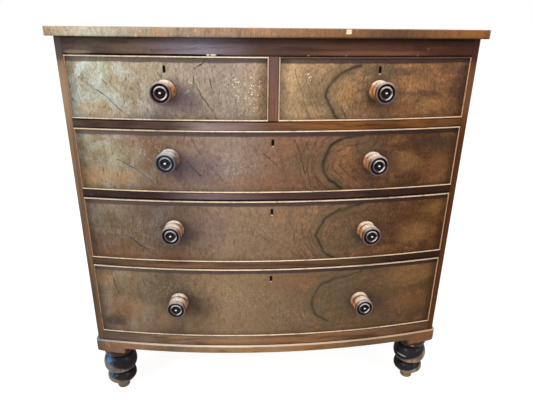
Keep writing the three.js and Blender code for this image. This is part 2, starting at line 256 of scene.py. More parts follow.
scene = bpy.context.scene
scene.world = bpy.data.worlds.new("studio")
world = Tree(scene.world)
seen = world.light_path("Is Camera Ray") + world.light_path("Is Glossy Ray")
seen = (seen + world.light_path("Is Transmission Ray")).least(1.0)
background = world.nodes["Background"]
world.feed(background.inputs["Color"], WHITE)
world.feed(background.inputs["Strength"], WORLD_LIGHT + (1 - WORLD_LIGHT) * seen)

bpy.ops.mesh.primitive_plane_add(size=60, location=(0, 0, 0))
floor = bpy.context.object
floor.name = "floor"
floor.data.materials.append(bpy.data.materials.new("white_floor"))
ground = Tree(floor.data.materials[0])
ground.nodes.clear()
diffuse = ground.add("ShaderNodeBsdfDiffuse", inputs={"Color": (0.9, 0.9, 0.9, 1.0)})
glow = ground.add("ShaderNodeEmission", inputs={"Color": WHITE, "Strength": 1.6})
half_white = 0.55 * ground.light_path("Is Camera Ray")
mixed = ground.add("ShaderNodeMixShader", inputs={0: half_white, 1: diffuse, 2: glow})
ground.add("ShaderNodeOutputMaterial", inputs={"Surface": mixed})
floor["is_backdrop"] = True


def lamp(name, place, target, size, watts, colour):
    """A soft rectangular panel that faces a target."""
    light = bpy.data.lights.new(name, "AREA")
    light.shape = "RECTANGLE"
    light.size, light.size_y = size
    light.energy = watts
    light.color = colour
    panel = bpy.data.objects.new(name, light)
    scene.collection.objects.link(panel)
    panel.location = place
    panel.rotation_euler = (Vector(target) - Vector(place)).to_track_quat("-Z", "Y").to_euler()


chest_middle = (0.0, 0.0, 0.65)
lamp("ceiling_light", (-0.2, -1.0, 2.7), (0.0, 0.0, 0.8), (1.6, 1.0), 34, (1.0, 0.98, 0.95))
lamp("window_light", (-2.4, -2.4, 1.7), chest_middle, (1.4, 1.8), 38, (0.86, 0.93, 1.0))
lamp("room_light", (2.6, -2.2, 1.5), chest_middle, (1.6, 1.6), 16, (1.0, 0.93, 0.84))
print("floor, world and three lamps")

# %% [markdown]
# ## Finishes
#
# All the woods are built from a few things: noise drawn out along the grain for the figure, very fine
# noise for the pores, a slow drift of colour over the whole chest, and wear. A finish holds the colour
# that it has got so far, and each coat covers a part of it. Every length is in millimetres here, and the
# waves of a noise are counted per metre.

# %% Tools for a finish
TONE_REACH = 560


def corners(node):
    """The two corners of a solid's box."""
    return (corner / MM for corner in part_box(node))


class Finish(Tree):
    """A material with one principled shader, its colour so far, and the patterns that woods need."""

    def __init__(self, name):
        self.material = bpy.data.materials.new(name)
        super().__init__(self.material)
        self.shader = self.nodes["Principled BSDF"]
        self.place = self.add("ShaderNodeTexCoord", output="Object")
        parts = self.add("ShaderNodeSeparateXYZ", inputs={0: self.drawn(1000)}).socket.node.outputs
        self.x, self.y, self.z = (Value(self, part) for part in parts)

    def drawn(self, waves, place=None):
        """The coordinates counted in waves, alike in all directions or given along X, Y and Z."""
        waves = waves if isinstance(waves, tuple) else (waves,) * 3
        return self.vector("MULTIPLY", place or self.place, waves)

    def noise(self, waves, detail=3.0, rough=0.55, bend=0.0, place=None, output=0):
        inputs = {"Vector": self.drawn(waves, place), "Scale": 1.0, "Detail": detail}
        inputs.update({"Roughness": rough, "Distortion": bend})
        return self.add("ShaderNodeTexNoise", inputs=inputs, output=output)

    def warped(self, waves, reach, place=None):
        """The coordinates shaken by a noise, so that straight lines run like natural ones."""
        shake = self.noise(waves, rough=0.5, place=place, output="Color")
        centred = self.vector("SUBTRACT", shake, (0.5,) * 3)
        return self.vector("MULTIPLY_ADD", centred, (reach * MM,) * 3, place or self.place)

    def reading(self, name):
        """A number that the mesh keeps at each of its points."""
        return self.add("ShaderNodeAttribute", {"attribute_name": name}, output="Fac")

    def mix(self, under, over, amount):
        under, over = (tone if isinstance(tone, Value) else paint(*tone) for tone in (under, over))
        return self.add("ShaderNodeMix", {"data_type": "RGBA"}, {0: amount, 6: under, 7: over}, output=2)

    def coat(self, tone, amount):
        self.colour = self.mix(self.colour, tone, amount)

    def dim(self, amount):
        self.colour = self.scaled(self.colour, 1 - amount)

    def tones(self, stops, along=None):
        """A slow change of colour from left to right, given as x and the paint there."""
        placed = [((x + TONE_REACH) / (2 * TONE_REACH), paint(*tone)) for x, *tone in stops]
        share = ((self.x if along is None else along) + TONE_REACH) / (2 * TONE_REACH)
        return self.add("ShaderNodeValToRGB", {"stops": placed}, {0: share})

    def specks(self, waves, share, radius):
        """Small dots, one in a share of the cells of a loose grid."""
        inputs = {"Vector": self.drawn(waves), "Scale": 1.0, "Randomness": 1.0}
        cells = self.add("ShaderNodeTexVoronoi", inputs=inputs, output="Distance")
        chance = Value(self, cells.socket.node.outputs["Color"])
        chosen = self.add("ShaderNodeSeparateColor", inputs={0: chance}).rise(1 - share, 1.001 - share)
        return cells.fall(radius * 0.5, radius) * chosen

    def away_from(self, points, place):
        """The distance to a broken line through points in x and z."""
        gaps = []
        flat = self.drawn((1000, 0, 1000), place)
        for (x0, z0), (x1, z1) in zip(points, points[1:]):
            along = Vector((x1 - x0, 0, z1 - z0))
            start = self.vector("SUBTRACT", flat, (x0, 0, z0))
            share = self.vector("DOT_PRODUCT", start, along / along.length_squared, output="Value")
            foot = self.scaled(along, share.least(1.0).most(0.0))
            gaps.append(self.vector("DISTANCE", start, foot, output="Value"))
        return reduce(Value.least, gaps)

    def line(self, points, width, place):
        """A line through points in x and z, 1 at its middle and 0 past its half width."""
        return self.away_from(points, place).fall(width * 0.15, width * 0.7)

    def patch(self, x, z, wide, tall, shake=0.0):
        """A soft oval patch round a place on the front, 1 inside and 0 outside."""
        across = (self.x - x) / wide
        over = (self.z - z) / tall
        return ((across * across + over * over) ** 0.5 + shake).fall(0.35, 1.1)

    def finish(self, rough, height, depth, strength, specular=0.08, **others):
        """Feed the shader. The height makes a bump of a given depth."""
        bump = {"Strength": strength, "Distance": depth * MM, "Height": height}
        inputs = {"Base Color": self.colour, "Roughness": rough, "Specular IOR Level": specular}
        inputs["Normal"] = self.add("ShaderNodeBump", inputs=bump)
        for socket, value in {**inputs, **others}.items():
            self.feed(self.shader.inputs[socket.replace("_", " ")], value)
        return self.material


print("the finishes have their tools")

# %% [markdown]
# ### The figured veneer
#
# Each drawer front is faced with mahogany cut near a fork of the tree. A window has bleached its left
# part to a greyish olive, and a painted reflection of the window lies over that part as well. At the right
# the growth rings bend round one dark line like an opening bracket. The sheets came off one log, so the
# line returns on every drawer, a bit different each time. It is given by a few points, a noise shakes it,
# and fainter rings follow it.

# %% What differs from sheet to sheet
TAN = (172, 134, 92)
RUST = (136, 88, 56)
HONEY = (152, 110, 68)
SMOKE_AND_SHADOW = (56, 44, 42)
PLUM = (112, 92, 94)
OLIVE = (96, 84, 62)

# How pale a sheet got, how deep its clouds are and how black its lines. Tones are x and paint, lines are
# points in x and z, a crack has a width, specks are ovals, and marks are tint, strength and oval.
Sheet = SimpleNamespace

top_sheet = Sheet(
    pale=1, depth=1.15, ink=0.65,
    tones=[
        (-500, 153, 144, 121), (-430, 174, 172, 150), (-320, 162, 143, 119), (-100, 153, 136, 121),
        (30, 176, 146, 110), (220, 140, 106, 76), (400, 123, 86, 57), (500, 112, 74, 45),
    ],
    bracket=[(215, 1047), (169, 1029), (148, 1012), (135, 991), (130, 975), (144, 948), (162, 916)],
    rings=[
        [(185, 1030), (160, 1008), (153, 981), (163, 955), (186, 916)],
        [(224, 992), (222, 1017), (230, 1035), (274, 1048), (306, 1036), (316, 1000), (330, 965)],
        [(79, 1030), (79, 1007), (96, 968), (124, 922)],
        [(53, 1035), (57, 1010), (68, 975), (84, 940), (90, 920)],
    ],
    cracks=[
        ([(-158, 1060), (-195, 1031), (-195, 1005), (-181, 975), (-160, 948), (-139, 914)], 3.2),
        ([(-480, 1015), (-455, 992), (-410, 964), (-388, 942), (-360, 918)], 2),
        ([(-155, 1012), (-147, 981)], 2.4),
        ([(-462, 1001), (-457, 993)], 6),
        ([(-420, 1006), (-414, 997)], 6.5),
    ],
    specks=[
        (-60, 982, 44, 64), (-135, 985, 12, 24), (-208, 996, 16, 26), (-100, 1005, 30, 24),
        (84, 1020, 14, 22),
    ],
    marks=[
        (TAN, 0.55, -450, 932, 85, 34), (PLUM, 0.6, -205, 950, 50, 40), (PLUM, 0.5, -300, 922, 50, 22),
        (RUST, 0.35, -20, 975, 30, 90), (HONEY, 0.5, 190, 975, 35, 30), (HONEY, 0.6, 420, 950, 50, 18),
        (HONEY, 0.5, 380, 1000, 30, 14), (SMOKE_AND_SHADOW, 0.6, 490, 985, 40, 50), (SMOKE_AND_SHADOW, 0.5, 330, 1030, 60, 12),
        (SMOKE_AND_SHADOW, 0.45, 390, 975, 70, 9), (RUST, 0.6, 330, 940, 60, 18), (OLIVE, 0.7, 270, 1030, 60, 30),
        (OLIVE, 0.35, 95, 985, 50, 70), (SMOKE_AND_SHADOW, 0.5, 470, 1035, 60, 20),
    ],
)
upper_sheet = Sheet(
    pale=0.5, depth=0.95, ink=0.95,
    tones=[
        (-500, 128, 110, 85), (-420, 138, 120, 92), (-300, 120, 90, 70), (-120, 146, 126, 112),
        (30, 127, 93, 71), (200, 116, 81, 59), (360, 82, 52, 32), (500, 90, 60, 34),
    ],
    bracket=[
        (235, 873), (190, 867), (170, 858), (150, 845), (139, 819), (132, 794), (138, 773), (155, 752),
        (190, 726),
    ],
    rings=[
        [(222, 862), (219, 846), (236, 822)],
        [(144, 800), (147, 779), (165, 756), (205, 730)],
        [(56, 862), (70, 835), (83, 782), (104, 735)],
        [(85, 856), (100, 820), (108, 775), (130, 735)],
        [(-24, 826), (6, 802), (15, 786), (16, 768)],
    ],
    cracks=[
        ([(-406, 806), (-360, 784), (-328, 757), (-308, 740)], 2.6),
        ([(-213, 870), (-175, 804), (-124, 745)], 1.6),
        ([(-224, 806), (-188, 767)], 5),
    ],
    specks=[(-100, 790, 80, 50), (-330, 830, 100, 40)],
    marks=[
        (TAN, 0.6, -440, 758, 110, 30), (PLUM, 0.75, -200, 785, 100, 55), (RUST, 0.35, -60, 745, 120, 28),
        (HONEY, 0.3, 190, 790, 40, 45), (HONEY, 0.45, 370, 790, 60, 40), (SMOKE_AND_SHADOW, 0.45, 440, 845, 90, 24),
        (RUST, 0.45, 460, 770, 60, 60), (OLIVE, 0.6, 255, 835, 45, 40), (OLIVE, 0.45, 80, 800, 60, 50),
    ],
)
middle_sheet = Sheet(
    pale=0.25, depth=1, ink=0.6,
    tones=[
        (-500, 101, 73, 56), (-400, 111, 83, 59), (-300, 96, 75, 64), (-130, 139, 115, 93),
        (60, 127, 99, 74), (200, 118, 88, 64), (340, 86, 57, 35), (500, 95, 60, 27),
    ],
    bracket=[
        (250, 680), (202, 668), (174, 660), (147, 639), (132, 609), (125, 585), (135, 559), (147, 540),
        (180, 518),
    ],
    rings=[
        [(150, 626), (140, 600), (138, 580), (150, 556), (170, 534)],
        [(48, 640), (59, 606), (72, 568), (98, 528)],
        [(80, 640), (87, 605), (94, 567), (124, 526)],
        [(106, 640), (110, 605), (114, 572), (140, 530)],
        [(477, 610), (466, 572)],
    ],
    cracks=[
        ([(-400, 585), (-383, 573), (-349, 544), (-322, 529)], 4),
    ],
    specks=[(-350, 600, 130, 50), (-40, 605, 80, 45)],
    marks=[
        (OLIVE, 0.5, -440, 620, 90, 50), (PLUM, 0.35, -170, 620, 80, 70), (RUST, 0.4, -330, 530, 200, 22),
        (OLIVE, 0.4, 230, 590, 80, 60), (HONEY, 0.4, 420, 575, 70, 40), (SMOKE_AND_SHADOW, 0.3, 205, 650, 50, 22),
        (RUST, 0.35, 300, 530, 100, 22), (HONEY, 0.3, 470, 650, 50, 30),
    ],
)
lower_sheet = Sheet(
    pale=0.25, depth=0.6, ink=0.42,
    tones=[
        (-500, 110, 84, 66), (-400, 128, 102, 77), (-300, 100, 78, 62), (-130, 142, 116, 87),
        (60, 118, 94, 70), (220, 107, 81, 58), (400, 92, 69, 46), (500, 88, 60, 31),
    ],
    bracket=[
        (270, 470), (224, 455), (188, 446), (153, 435), (133, 409), (123, 375), (127, 347), (138, 325),
        (175, 300),
    ],
    rings=[
        [(270, 462), (243, 446), (200, 430), (160, 420)],
        [(141, 400), (134, 375), (140, 350), (156, 328)],
    ],
    cracks=[
        ([(-463, 455), (-455, 430), (-446, 396)], 3.4),
        ([(-475, 440), (-470, 415)], 3),
    ],
    specks=[(-100, 385, 150, 75), (60, 330, 100, 45), (-330, 420, 130, 40)],
    marks=[
        (SMOKE_AND_SHADOW, 0.75, -468, 300, 45, 30), (TAN, 0.2, -310, 310, 50, 28), (SMOKE_AND_SHADOW, 0.4, -190, 360, 50, 60),
        (OLIVE, 0.5, -350, 410, 150, 60), (RUST, 0.4, -430, 345, 80, 50), (OLIVE, 0.55, 210, 380, 80, 80),
        (RUST, 0.35, 430, 345, 90, 50), (RUST, 0.3, 60, 440, 120, 30), (HONEY, 0.35, 420, 445, 110, 50),
        (TAN, 0.35, -480, 440, 40, 30),
    ],
)
sheets = {
    "lower_drawer": lower_sheet,
    "middle_drawer": middle_sheet,
    "upper_drawer": upper_sheet,
    "top_left_drawer": top_sheet,
    "top_right_drawer": top_sheet,
}
print("sheets of veneer for", len(sheets), "drawers")

# %% Colour, figure, lines and dirt
KEYHOLE_DROP = 25 * MM


def knob_nodes(drawer):
    return [node for node in frame["nodes"] if node.startswith(f"{drawer}_knob")]


def figured_veneer(drawer, sheet):
    wood = Finish(f"{drawer}_veneer")
    low, high = corners(f"{drawer}_front")
    shaken = wood.warped((9, 9, 7), 50)
    broad = wood.noise(4)
    wave = wood.noise(14)

    # the wood's own colours, clouded and mottled, and barred at the right
    clouds = wood.noise((17, 17, 13), 6.0, 0.62, 0.9, shaken)
    mottle = wood.noise((72, 72, 60), 5.0, 0.70, 0.6, shaken)
    bars = wood.noise((14, 14, 62), 4.0, 0.6, 0.4, shaken)
    along = wood.x + 100 * (broad - 0.5) + 80 * (clouds - 0.5)
    right = along.rise(-50, 200)
    light = (clouds * 0.5 + mottle * 0.5 - 0.5) * (1.0 + 0.5 * right) + (bars - 0.5) * right * 0.55
    wood.colour = wood.tones(sheet.tones, along)
    wood.coat(HONEY, light.rise(0.0, 0.3) * right * 0.3)
    wood.dim(light * (-1.5 * sheet.depth))

    # pale clouds at the left, greenish grey: bleached wood with a painted reflection of the window in it,
    # and warm tan between them
    streaks = wood.noise((44, 44, 14), 5.0, 0.66, 0.5)
    haze = clouds * 0.65 + streaks * 0.35
    reach = (along + 250 * (streaks - 0.5)).fall(-460, -160) * sheet.pale
    pale = wood.mix((194, 198, 172), (188, 200, 196), broad.rise(0.44, 0.58))
    wood.coat((160, 134, 100), haze.fall(0.38, 0.52) * reach * 0.45)
    wood.coat(pale, haze.rise(0.42, 0.62) * reach * 0.7)
    for tint, amount, *oval in sheet.marks:
        patch = wood.patch(*oval, 1.1 * (wave - 0.5) + 0.5 * (mottle - 0.5))
        wood.coat(tint, patch * amount * (0.55 + 0.9 * mottle).least(1.0))

    # pores and pits, and dirt that fills some of them
    pits = wood.noise((240, 240, 130), 4.0, 0.7)
    dirt = wood.noise((110, 110, 42), 5.0, 0.72, 0.3, shaken)
    grime = dirt.fall(0.34, 0.46) * (0.35 + 0.35 * along.fall(-300, 100)) * broad.rise(0.28, 0.52)
    wood.coat((72, 58, 42), grime * 0.8)
    wood.dim((0.5 - pits) * (1.4 + 0.6 * right) * (0.35 + 0.65 * sheet.depth))
    fibres = wood.noise((420, 420, 75), 3.0, 0.75)
    wood.dim(fibres.fall(0.32, 0.44) * along.fall(-50, 100) * (0.25 + 0.25 * sheet.pale))

    # the bracket, and the rings that follow it
    fine = wood.warped(75, 7, wood.warped(22, 16))
    away = wood.away_from(sheet.bracket, fine)
    broken = wood.noise(28, 3.0, 0.6)
    thick = 1.1 + 2.6 * wood.noise(17, 2.0).rise(0.35, 0.65)
    bands = ((away + 14 * (wave - 0.5) + 4 * (mottle - 0.5)) * 0.33).math("SINE").rise(0.45, 1.0)
    near = away.fall(30, 110) * away.rise(5, 12)
    wood.coat(OLIVE, away.fall(6, 30) * 0.45)
    soft = away.fall(2.5, 8) * (0.4 + 0.6 * broken)
    wood.coat((62, 50, 40), soft * (0.4 + 0.6 * sheet.ink))
    wood.coat((64, 46, 34), bands * near * broken.rise(0.36, 0.56) * 0.55 * sheet.ink)
    for ring in sheet.rings:
        line = wood.line(ring, 3.0, fine) * (0.25 + 0.75 * broken.rise(0.38, 0.60))
        wood.coat((56, 42, 32), line * (0.1 + 0.75 * sheet.ink))
    black = (0.45 + 0.9 * broken.rise(0.30, 0.55)).least(0.94) * (0.25 + 0.75 * sheet.ink)
    wood.coat((40, 38, 34), (away / thick).fall(0.3, 1.25) * black)

    # cracks and the white specks of old paint
    cracks = reduce(Value.most, [wood.line(points, width, fine) for points, width in sheet.cracks])
    wood.coat((64, 58, 66), cracks * (0.28 + 0.75 * broken.rise(0.35, 0.6)))
    dots = wood.specks((230, 230, 210), 0.28, 0.40) + wood.specks((130, 130, 120), 0.22, 0.28)
    dotted = reduce(Value.most, [wood.patch(*oval, 1.3 * (wave - 0.5)) for oval in sheet.specks])
    wood.coat((204, 184, 150), fibres.rise(0.58, 0.72) * dotted * (0.6 - 0.3 * sheet.pale))
    white = (dots * dotted * (0.16 + 0.84 * sheet.pale ** 3)).least(1.0)
    wood.coat((236, 228, 208), white)

    # painted shade along the beads: a shadow band under the top bead, darker sides and foot, and a dark
    # line in the seam, with dirt and old polish there too; and round the knobs
    loose = 6 * (wave - 0.5) + 3 * (mottle - 0.5)
    below_top = high.z - wood.z
    above_foot = wood.z - low.z
    at_side = (wood.x - low.x).least(high.x - wood.x)
    polish_and_shadow = wood.tones([(-500, 82, 70, 64), (-100, 68, 54, 58), (450, 40, 26, 26)])
    wood.coat(polish_and_shadow, (below_top + loose).fall(13, 17) * (0.84 + 0.3 * (mottle - 0.5)))
    wood.dim((at_side + loose * 2.5).fall(3, 36) * 0.5)
    wood.dim((above_foot + loose).fall(2, 20) * 0.35)
    seam = below_top.least(above_foot).least(at_side)
    wood.coat((34, 24, 22), seam.fall(0.8, 2.6) * 0.8)
    # a painted shadow below and to the right of each knob, over the dirt of hands
    shade = wood.mix((82, 72, 92), SMOKE_AND_SHADOW, wood.x.rise(-200, 100).most(wood.z.fall(600, 900)))
    for node in knob_nodes(drawer):
        heart = sum(corners(node), Vector()) / 2
        wood.coat(shade, wood.patch(heart.x + 16, heart.z - 16, 66, 54, 1.2 * (wave - 0.5)) * 0.45)
        wood.coat(SMOKE_AND_SHADOW, wood.patch(heart.x + 5, heart.z - 7, 42, 40, 0.6 * (wave - 0.5)) * 0.6)

    # the keyhole's edge is painted black, and a small pale spot below it is a painted highlight
    key_x = station_of(f"{drawer}_lock_bolt") / MM
    key_z = high.z - KEYHOLE_DROP / MM
    key_edge = wood.away_from([(key_x, key_z), (key_x, key_z - 10)], wood.place)
    wood.coat((16, 12, 12), key_edge.fall(3.2, 4.4))
    chip = wood.patch(key_x + 0.5, key_z - 15.4, 2.6, 1.9, 0.8 * (mottle - 0.5))
    wood.coat((214, 206, 188), chip * (0.9 if key_x > -100 else 0.1))
    height = pits * 0.6 + dirt * 0.5 + 2.0 * (1 - cracks) + 1.5 * white
    return wood.finish(0.46 + 0.14 * streaks + 0.10 * grime, height, 0.3, 0.6)


veneers = {drawer: figured_veneer(drawer, sheet) for drawer, sheet in sheets.items()}
print("veneer for", ", ".join(veneers))

# %% [markdown]
# ### The plain woods
#
# Rails and sides are straight grained mahogany, plum brown and dull at the left and redder at the right.
# The drawer linings are oak, the back and the dust boards pine. One function makes them all: it takes
# the direction of the grain and the tones from the left to the right end of the chest.

# %% Straight grained wood
ALONG_X = Vector((1, 0, 0))
ALONG_Y = Vector((0, 1, 0))
ALONG_Z = Vector((0, 0, 1))


def drawn_out(grain, along, across):
    """Waves that are few along the grain and many across it."""
    return tuple(along * part + across * (1 - part) for part in grain)


def straight_wood(name, grain, tones, dark, marks=None, shine=0.5, wear=0.3, coat=0.0):
    wood = Finish(name)
    shaken = wood.warped(drawn_out(grain, 3, 14), 20)
    figure = wood.noise(drawn_out(grain, 2.5, 75), 5.0, 0.6, 0.0, shaken)
    bands = wood.noise(drawn_out(grain, 1.2, 22), 3.0, 0.5, 0.0, shaken)
    pores = wood.noise(drawn_out(grain, 45, 620), 2.0, 0.6)
    blotch = wood.noise(8, 4.0, 0.6)
    wood.colour = wood.tones(tones, wood.x + 80 * (blotch - 0.5))
    wood.coat(dark, figure.fall(0.30, 0.56) * 0.5)
    wood.coat(dark, bands.fall(0.3, 0.55) * 0.35)
    wood.dim((0.5 - figure) * 0.8 + pores.fall(0.28, 0.46) * 0.3)
    worn = wood.noise(60, 5.0, 0.7).rise(0.60, 0.74) * blotch.rise(0.45, 0.6) * wear
    wood.coat((186, 158, 128), worn)
    if marks:
        marks(wood)
    rough = 1 - shine + 0.18 * (figure - 0.5) + 0.2 * worn
    height = figure * 0.6 + pores * 0.8 - worn
    return wood.finish(rough, height, 0.2, 0.5, 0.06, Coat_Weight=coat, Coat_Roughness=0.25)


def shadow_and_soot(wood, z, thick, amount, left=-600, right=600):
    """A dark line along the bow at a height, between two places: painted shadow in a seam, with dirt in it.
    """
    shaken = wood.noise(30) - 0.5
    line = (wood.z - z + 2 * shaken).size().fall(thick * 0.5, thick * 0.5 + 1.2)
    wood.coat((20, 12, 9), line * wood.x.between(left, right, 20) * amount)


print("straight grained wood and lines of soot are ready")

# %% Rails and frieze
def rail_wood(node, tones, lines):
    """A rail with painted shadow and dirt in the seams along its edges: how far from its top, thickness,
    strength, span.
    """
    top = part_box(node)[1].z / MM

    def seams(wood):
        for down, *line in lines:
            shadow_and_soot(wood, top - down, *line)

    return straight_wood(f"{node}_mahogany", ALONG_X, tones, (50, 30, 22), seams)


def frieze_marks(wood):
    low, high = corners("frieze_rail")
    shaken = wood.noise(20, 4.0) - 0.5
    # painted shadow under the overhang of the top, deeper towards the right
    wood.dim((high.z - wood.z + 8 * shaken).fall(2, 20) * (0.5 + 0.25 * wood.x.rise(250, 450)))
    light = (wood.z - low.z + 5 * shaken).between(3, 12, 3) * wood.x.rise(50, 160)
    wood.coat((128, 88, 66), light * wood.x.fall(320, 420) * 0.6)
    # painted shadow and dirt in the seam above the top drawers, black at the left
    shadow_and_soot(wood, low.z + 1.5, 3.4, 1.0, -450, -120)
    shadow_and_soot(wood, low.z + 1.0, 2.0, 0.7)
    for x, wide in ((-145, 8), (-158, 4), (83, 3), (176, 2.5), (360, 2)):
        chip = wood.patch(x, low.z + 2.2, wide, 2.6 if x < 0 else 1.8, 1.6 * shaken)
        wood.coat((224, 212, 196), chip * (0.95 if x < 0 else 0.35))
    wood.coat((140, 126, 110), wood.patch(-470, low.z + 6, 40, 5, 1.2 * shaken) * 0.6)


# The pale bluish stops in the left half of the frieze and the upper and middle rails are a painted sheen, a
# reflection in their polish; the dark right end of the lower rail is painted shade.
frieze_wood = straight_wood("frieze_mahogany", ALONG_X, [
    (-500, 78, 66, 60), (-340, 110, 90, 74), (-180, 132, 122, 134), (-40, 88, 66, 58), (220, 92, 60, 44),
    (500, 72, 40, 28),
], (58, 36, 30), frieze_marks)
upper_rail = rail_wood("divider_upper", [
    (-500, 82, 68, 58), (-380, 78, 60, 50), (-260, 94, 74, 68), (-160, 150, 130, 126), (0, 112, 78, 60),
    (140, 140, 90, 48), (500, 112, 70, 36),
], [(1.2, 2.4, 1.0, -600, 20), (1, 1.6, 0.6, 0, 600), (22.6, 2.4, 0.9, -600, -300), (22.8, 1.8, 0.8, 250)])
middle_rail = rail_wood("divider_middle", [
    (-500, 56, 42, 40), (-320, 60, 42, 42), (-160, 118, 100, 102), (20, 80, 56, 50), (220, 76, 52, 44),
    (400, 50, 28, 18),
], [(21.6, 4.6, 1.0), (0.8, 1.4, 0.8)])
lower_rail = rail_wood("divider_lower", [
    (-500, 78, 62, 50), (-300, 114, 84, 62), (-80, 122, 90, 66), (200, 92, 68, 47), (340, 60, 38, 24),
    (500, 48, 25, 10),
], [(22.4, 2.2, 0.7), (0.8, 1.4, 0.7), (20.0, 6.0, 0.8, 340)])
base_wood = rail_wood("base_rail", [
    (-500, 94, 78, 68), (-300, 130, 103, 80), (-120, 154, 118, 88), (50, 142, 104, 70), (300, 124, 89, 61),
    (500, 94, 65, 44),
], [(1.0, 1.8, 0.8), (34.6, 2.0, 0.8)])
print("rails and frieze are ready")


# %% Sides, linings and back
def side_by_height(wood):
    """The stiles are pale at the upper left, dark and red at the right, and plum beside the frieze."""
    at_left = wood.x.fall(-20, 20)
    at_front = wood.y.fall(-150, -90)
    upper = wood.z.between(900, 1045, 50) * at_front
    wood.coat((146, 122, 94), upper * at_left * 0.75)
    wood.coat((118, 76, 48), upper * (1 - at_left) * 0.7)
    plum = wood.mix((80, 67, 62), (66, 38, 28), 1 - at_left)
    wood.coat(plum, wood.z.rise(1044, 1060) * at_front)
    wood.dim(wood.z.fall(250, 750) * at_left * 0.12)


def partition_shade(wood):
    wood.coat((96, 74, 74), wood.z.rise(930, 1060) * 0.85)


side_tones = [(-50, 120, 95, 73), (50, 84, 46, 20)]
core_tones = [(-500, 150, 108, 76), (500, 142, 98, 66)]
oak_tones = [(-500, 178, 146, 102), (500, 172, 138, 94)]
pine_tones = [(-500, 150, 116, 78), (500, 146, 110, 72)]
oak_dark = (132, 100, 64)
pine_dark = (108, 78, 50)
side_wood = straight_wood("side_mahogany", ALONG_Z, side_tones, (56, 32, 18), side_by_height)
partition_wood = straight_wood(
    "partition_mahogany", ALONG_Z, [(0, 146, 106, 84)] * 2, (100, 68, 54), partition_shade,
)
core_wood = straight_wood("front_core", ALONG_X, core_tones, (104, 70, 48), shine=0.3)
oak_crosswise = straight_wood("oak_across", ALONG_X, oak_tones, oak_dark, shine=0.3, wear=0.15)
pine_upright = straight_wood("pine_back", ALONG_Z, pine_tones, pine_dark, shine=0.25, wear=0.2)
pine_crosswise = straight_wood("pine_across", ALONG_X, pine_tones, pine_dark, shine=0.25, wear=0.2)
print("the plain woods are ready")

# %% [markdown]
# ### Top, plinth, beads and turnings
#
# The edge of the top is cross-grained veneer, bleached at the left and honey coloured at the right, and
# one small piece has chipped away; a painted highlight runs along its upper arris and painted shade along
# its lower edge. Plinth and beads stand proud, so a cleaning cloth has worn them light along their edges,
# and a painted highlight from above lies there too. The feet and the faces of the knobs are almost black
# with old polish.

# %% The remaining woods
def top_edge_wood():
    wood = Finish("top_edge")
    patches = wood.noise((30, 10, 14), 4.0, 0.62, 0.5, wood.warped(12, 20))
    fibres = wood.noise((300, 80, 40), 3.0, 0.6)
    stains = wood.noise((85, 60, 90), 4.0, 0.7)
    pits = wood.noise((260, 120, 200), 3.0, 0.7)
    wood.colour = wood.tones([
        (-540, 160, 135, 106), (-450, 183, 178, 157), (-300, 158, 142, 120), (-80, 152, 120, 99),
        (120, 137, 98, 68), (300, 94, 65, 48), (420, 130, 86, 50), (540, 143, 90, 42),
    ], wood.x + 100 * (patches - 0.5))
    wood.coat((186, 134, 92), patches.rise(0.54, 0.70) * wood.x.fall(0, 300) * 0.6)
    wood.coat((98, 66, 48), patches.fall(0.34, 0.46) * 0.4)
    wood.coat((92, 62, 46), stains.fall(0.32, 0.43) * 0.65)
    wood.coat((226, 210, 182), stains.rise(0.60, 0.74) * wood.x.fall(-300, 100) * 0.6)
    wood.dim((0.5 - fibres) * 0.9 + (0.5 - pits))
    above_top = wood.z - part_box("top_board")[1].z / MM
    # a painted highlight along the upper arris
    wood.coat((206, 184, 160), above_top.rise(-1.6, -0.6) * 0.4)
    # painted shade along the lower edge, deeper towards the right
    foot = (above_top + 21.7 + 2 * (patches - 0.5)).fall(1.5, 5)
    wood.dim(foot * (0.15 + 0.45 * wood.x.rise(-200, 100)))
    away = ((wood.x - 176) / 8).size().most(((above_top + 7) / 6).size())
    chip = (away + 0.9 * (stains - 0.5)).fall(0.72, 0.92)
    wood.coat((236, 216, 184), chip * 0.9)
    return wood.finish(0.45 + 0.2 * stains, fibres + stains - 2.0 * chip, 0.3, 0.5, 0.10)


def plinth_wood():
    wood = Finish("plinth_mahogany")
    low, high = corners("plinth")
    shaken = wood.warped(14, 30)
    figure = wood.noise((16, 16, 90), 5.0, 0.6, 0.0, shaken)
    patches = wood.noise((20, 20, 12), 4.0, 0.6, 0.4, shaken)
    fibres = wood.noise((60, 60, 300), 2.0, 0.6)
    wood.colour = wood.tones([
        (-540, 96, 78, 64), (-430, 145, 106, 78), (-300, 106, 90, 74), (-180, 152, 120, 92),
        (20, 160, 120, 82), (120, 150, 102, 62), (300, 104, 80, 57), (520, 126, 84, 54),
    ], wood.x + 80 * (patches - 0.5))
    wood.coat((176, 116, 66), patches.rise(0.56, 0.68) * 0.5)
    wood.coat((78, 54, 40), figure.fall(0.30, 0.48) * 0.6)
    wood.dim((0.5 - fibres) * 0.5)
    # a painted highlight along the rounded upper edge, where it is also worn light
    rubbed = (wood.z - high.z + 2 * (patches - 0.5)).rise(-4.4, -2.2)
    line = wood.tones([
        (-540, 128, 140, 152), (-440, 196, 180, 160), (-140, 250, 234, 208), (60, 228, 204, 176),
        (500, 200, 166, 136),
    ])
    wood.coat(line, rubbed * (0.62 + 0.6 * figure).least(1.0))
    wood.coat((58, 42, 34), (wood.z - low.z).fall(0.5, 3) * 0.5)
    return wood.finish(0.5 - 0.12 * rubbed, figure + fibres, 0.2, 0.5)


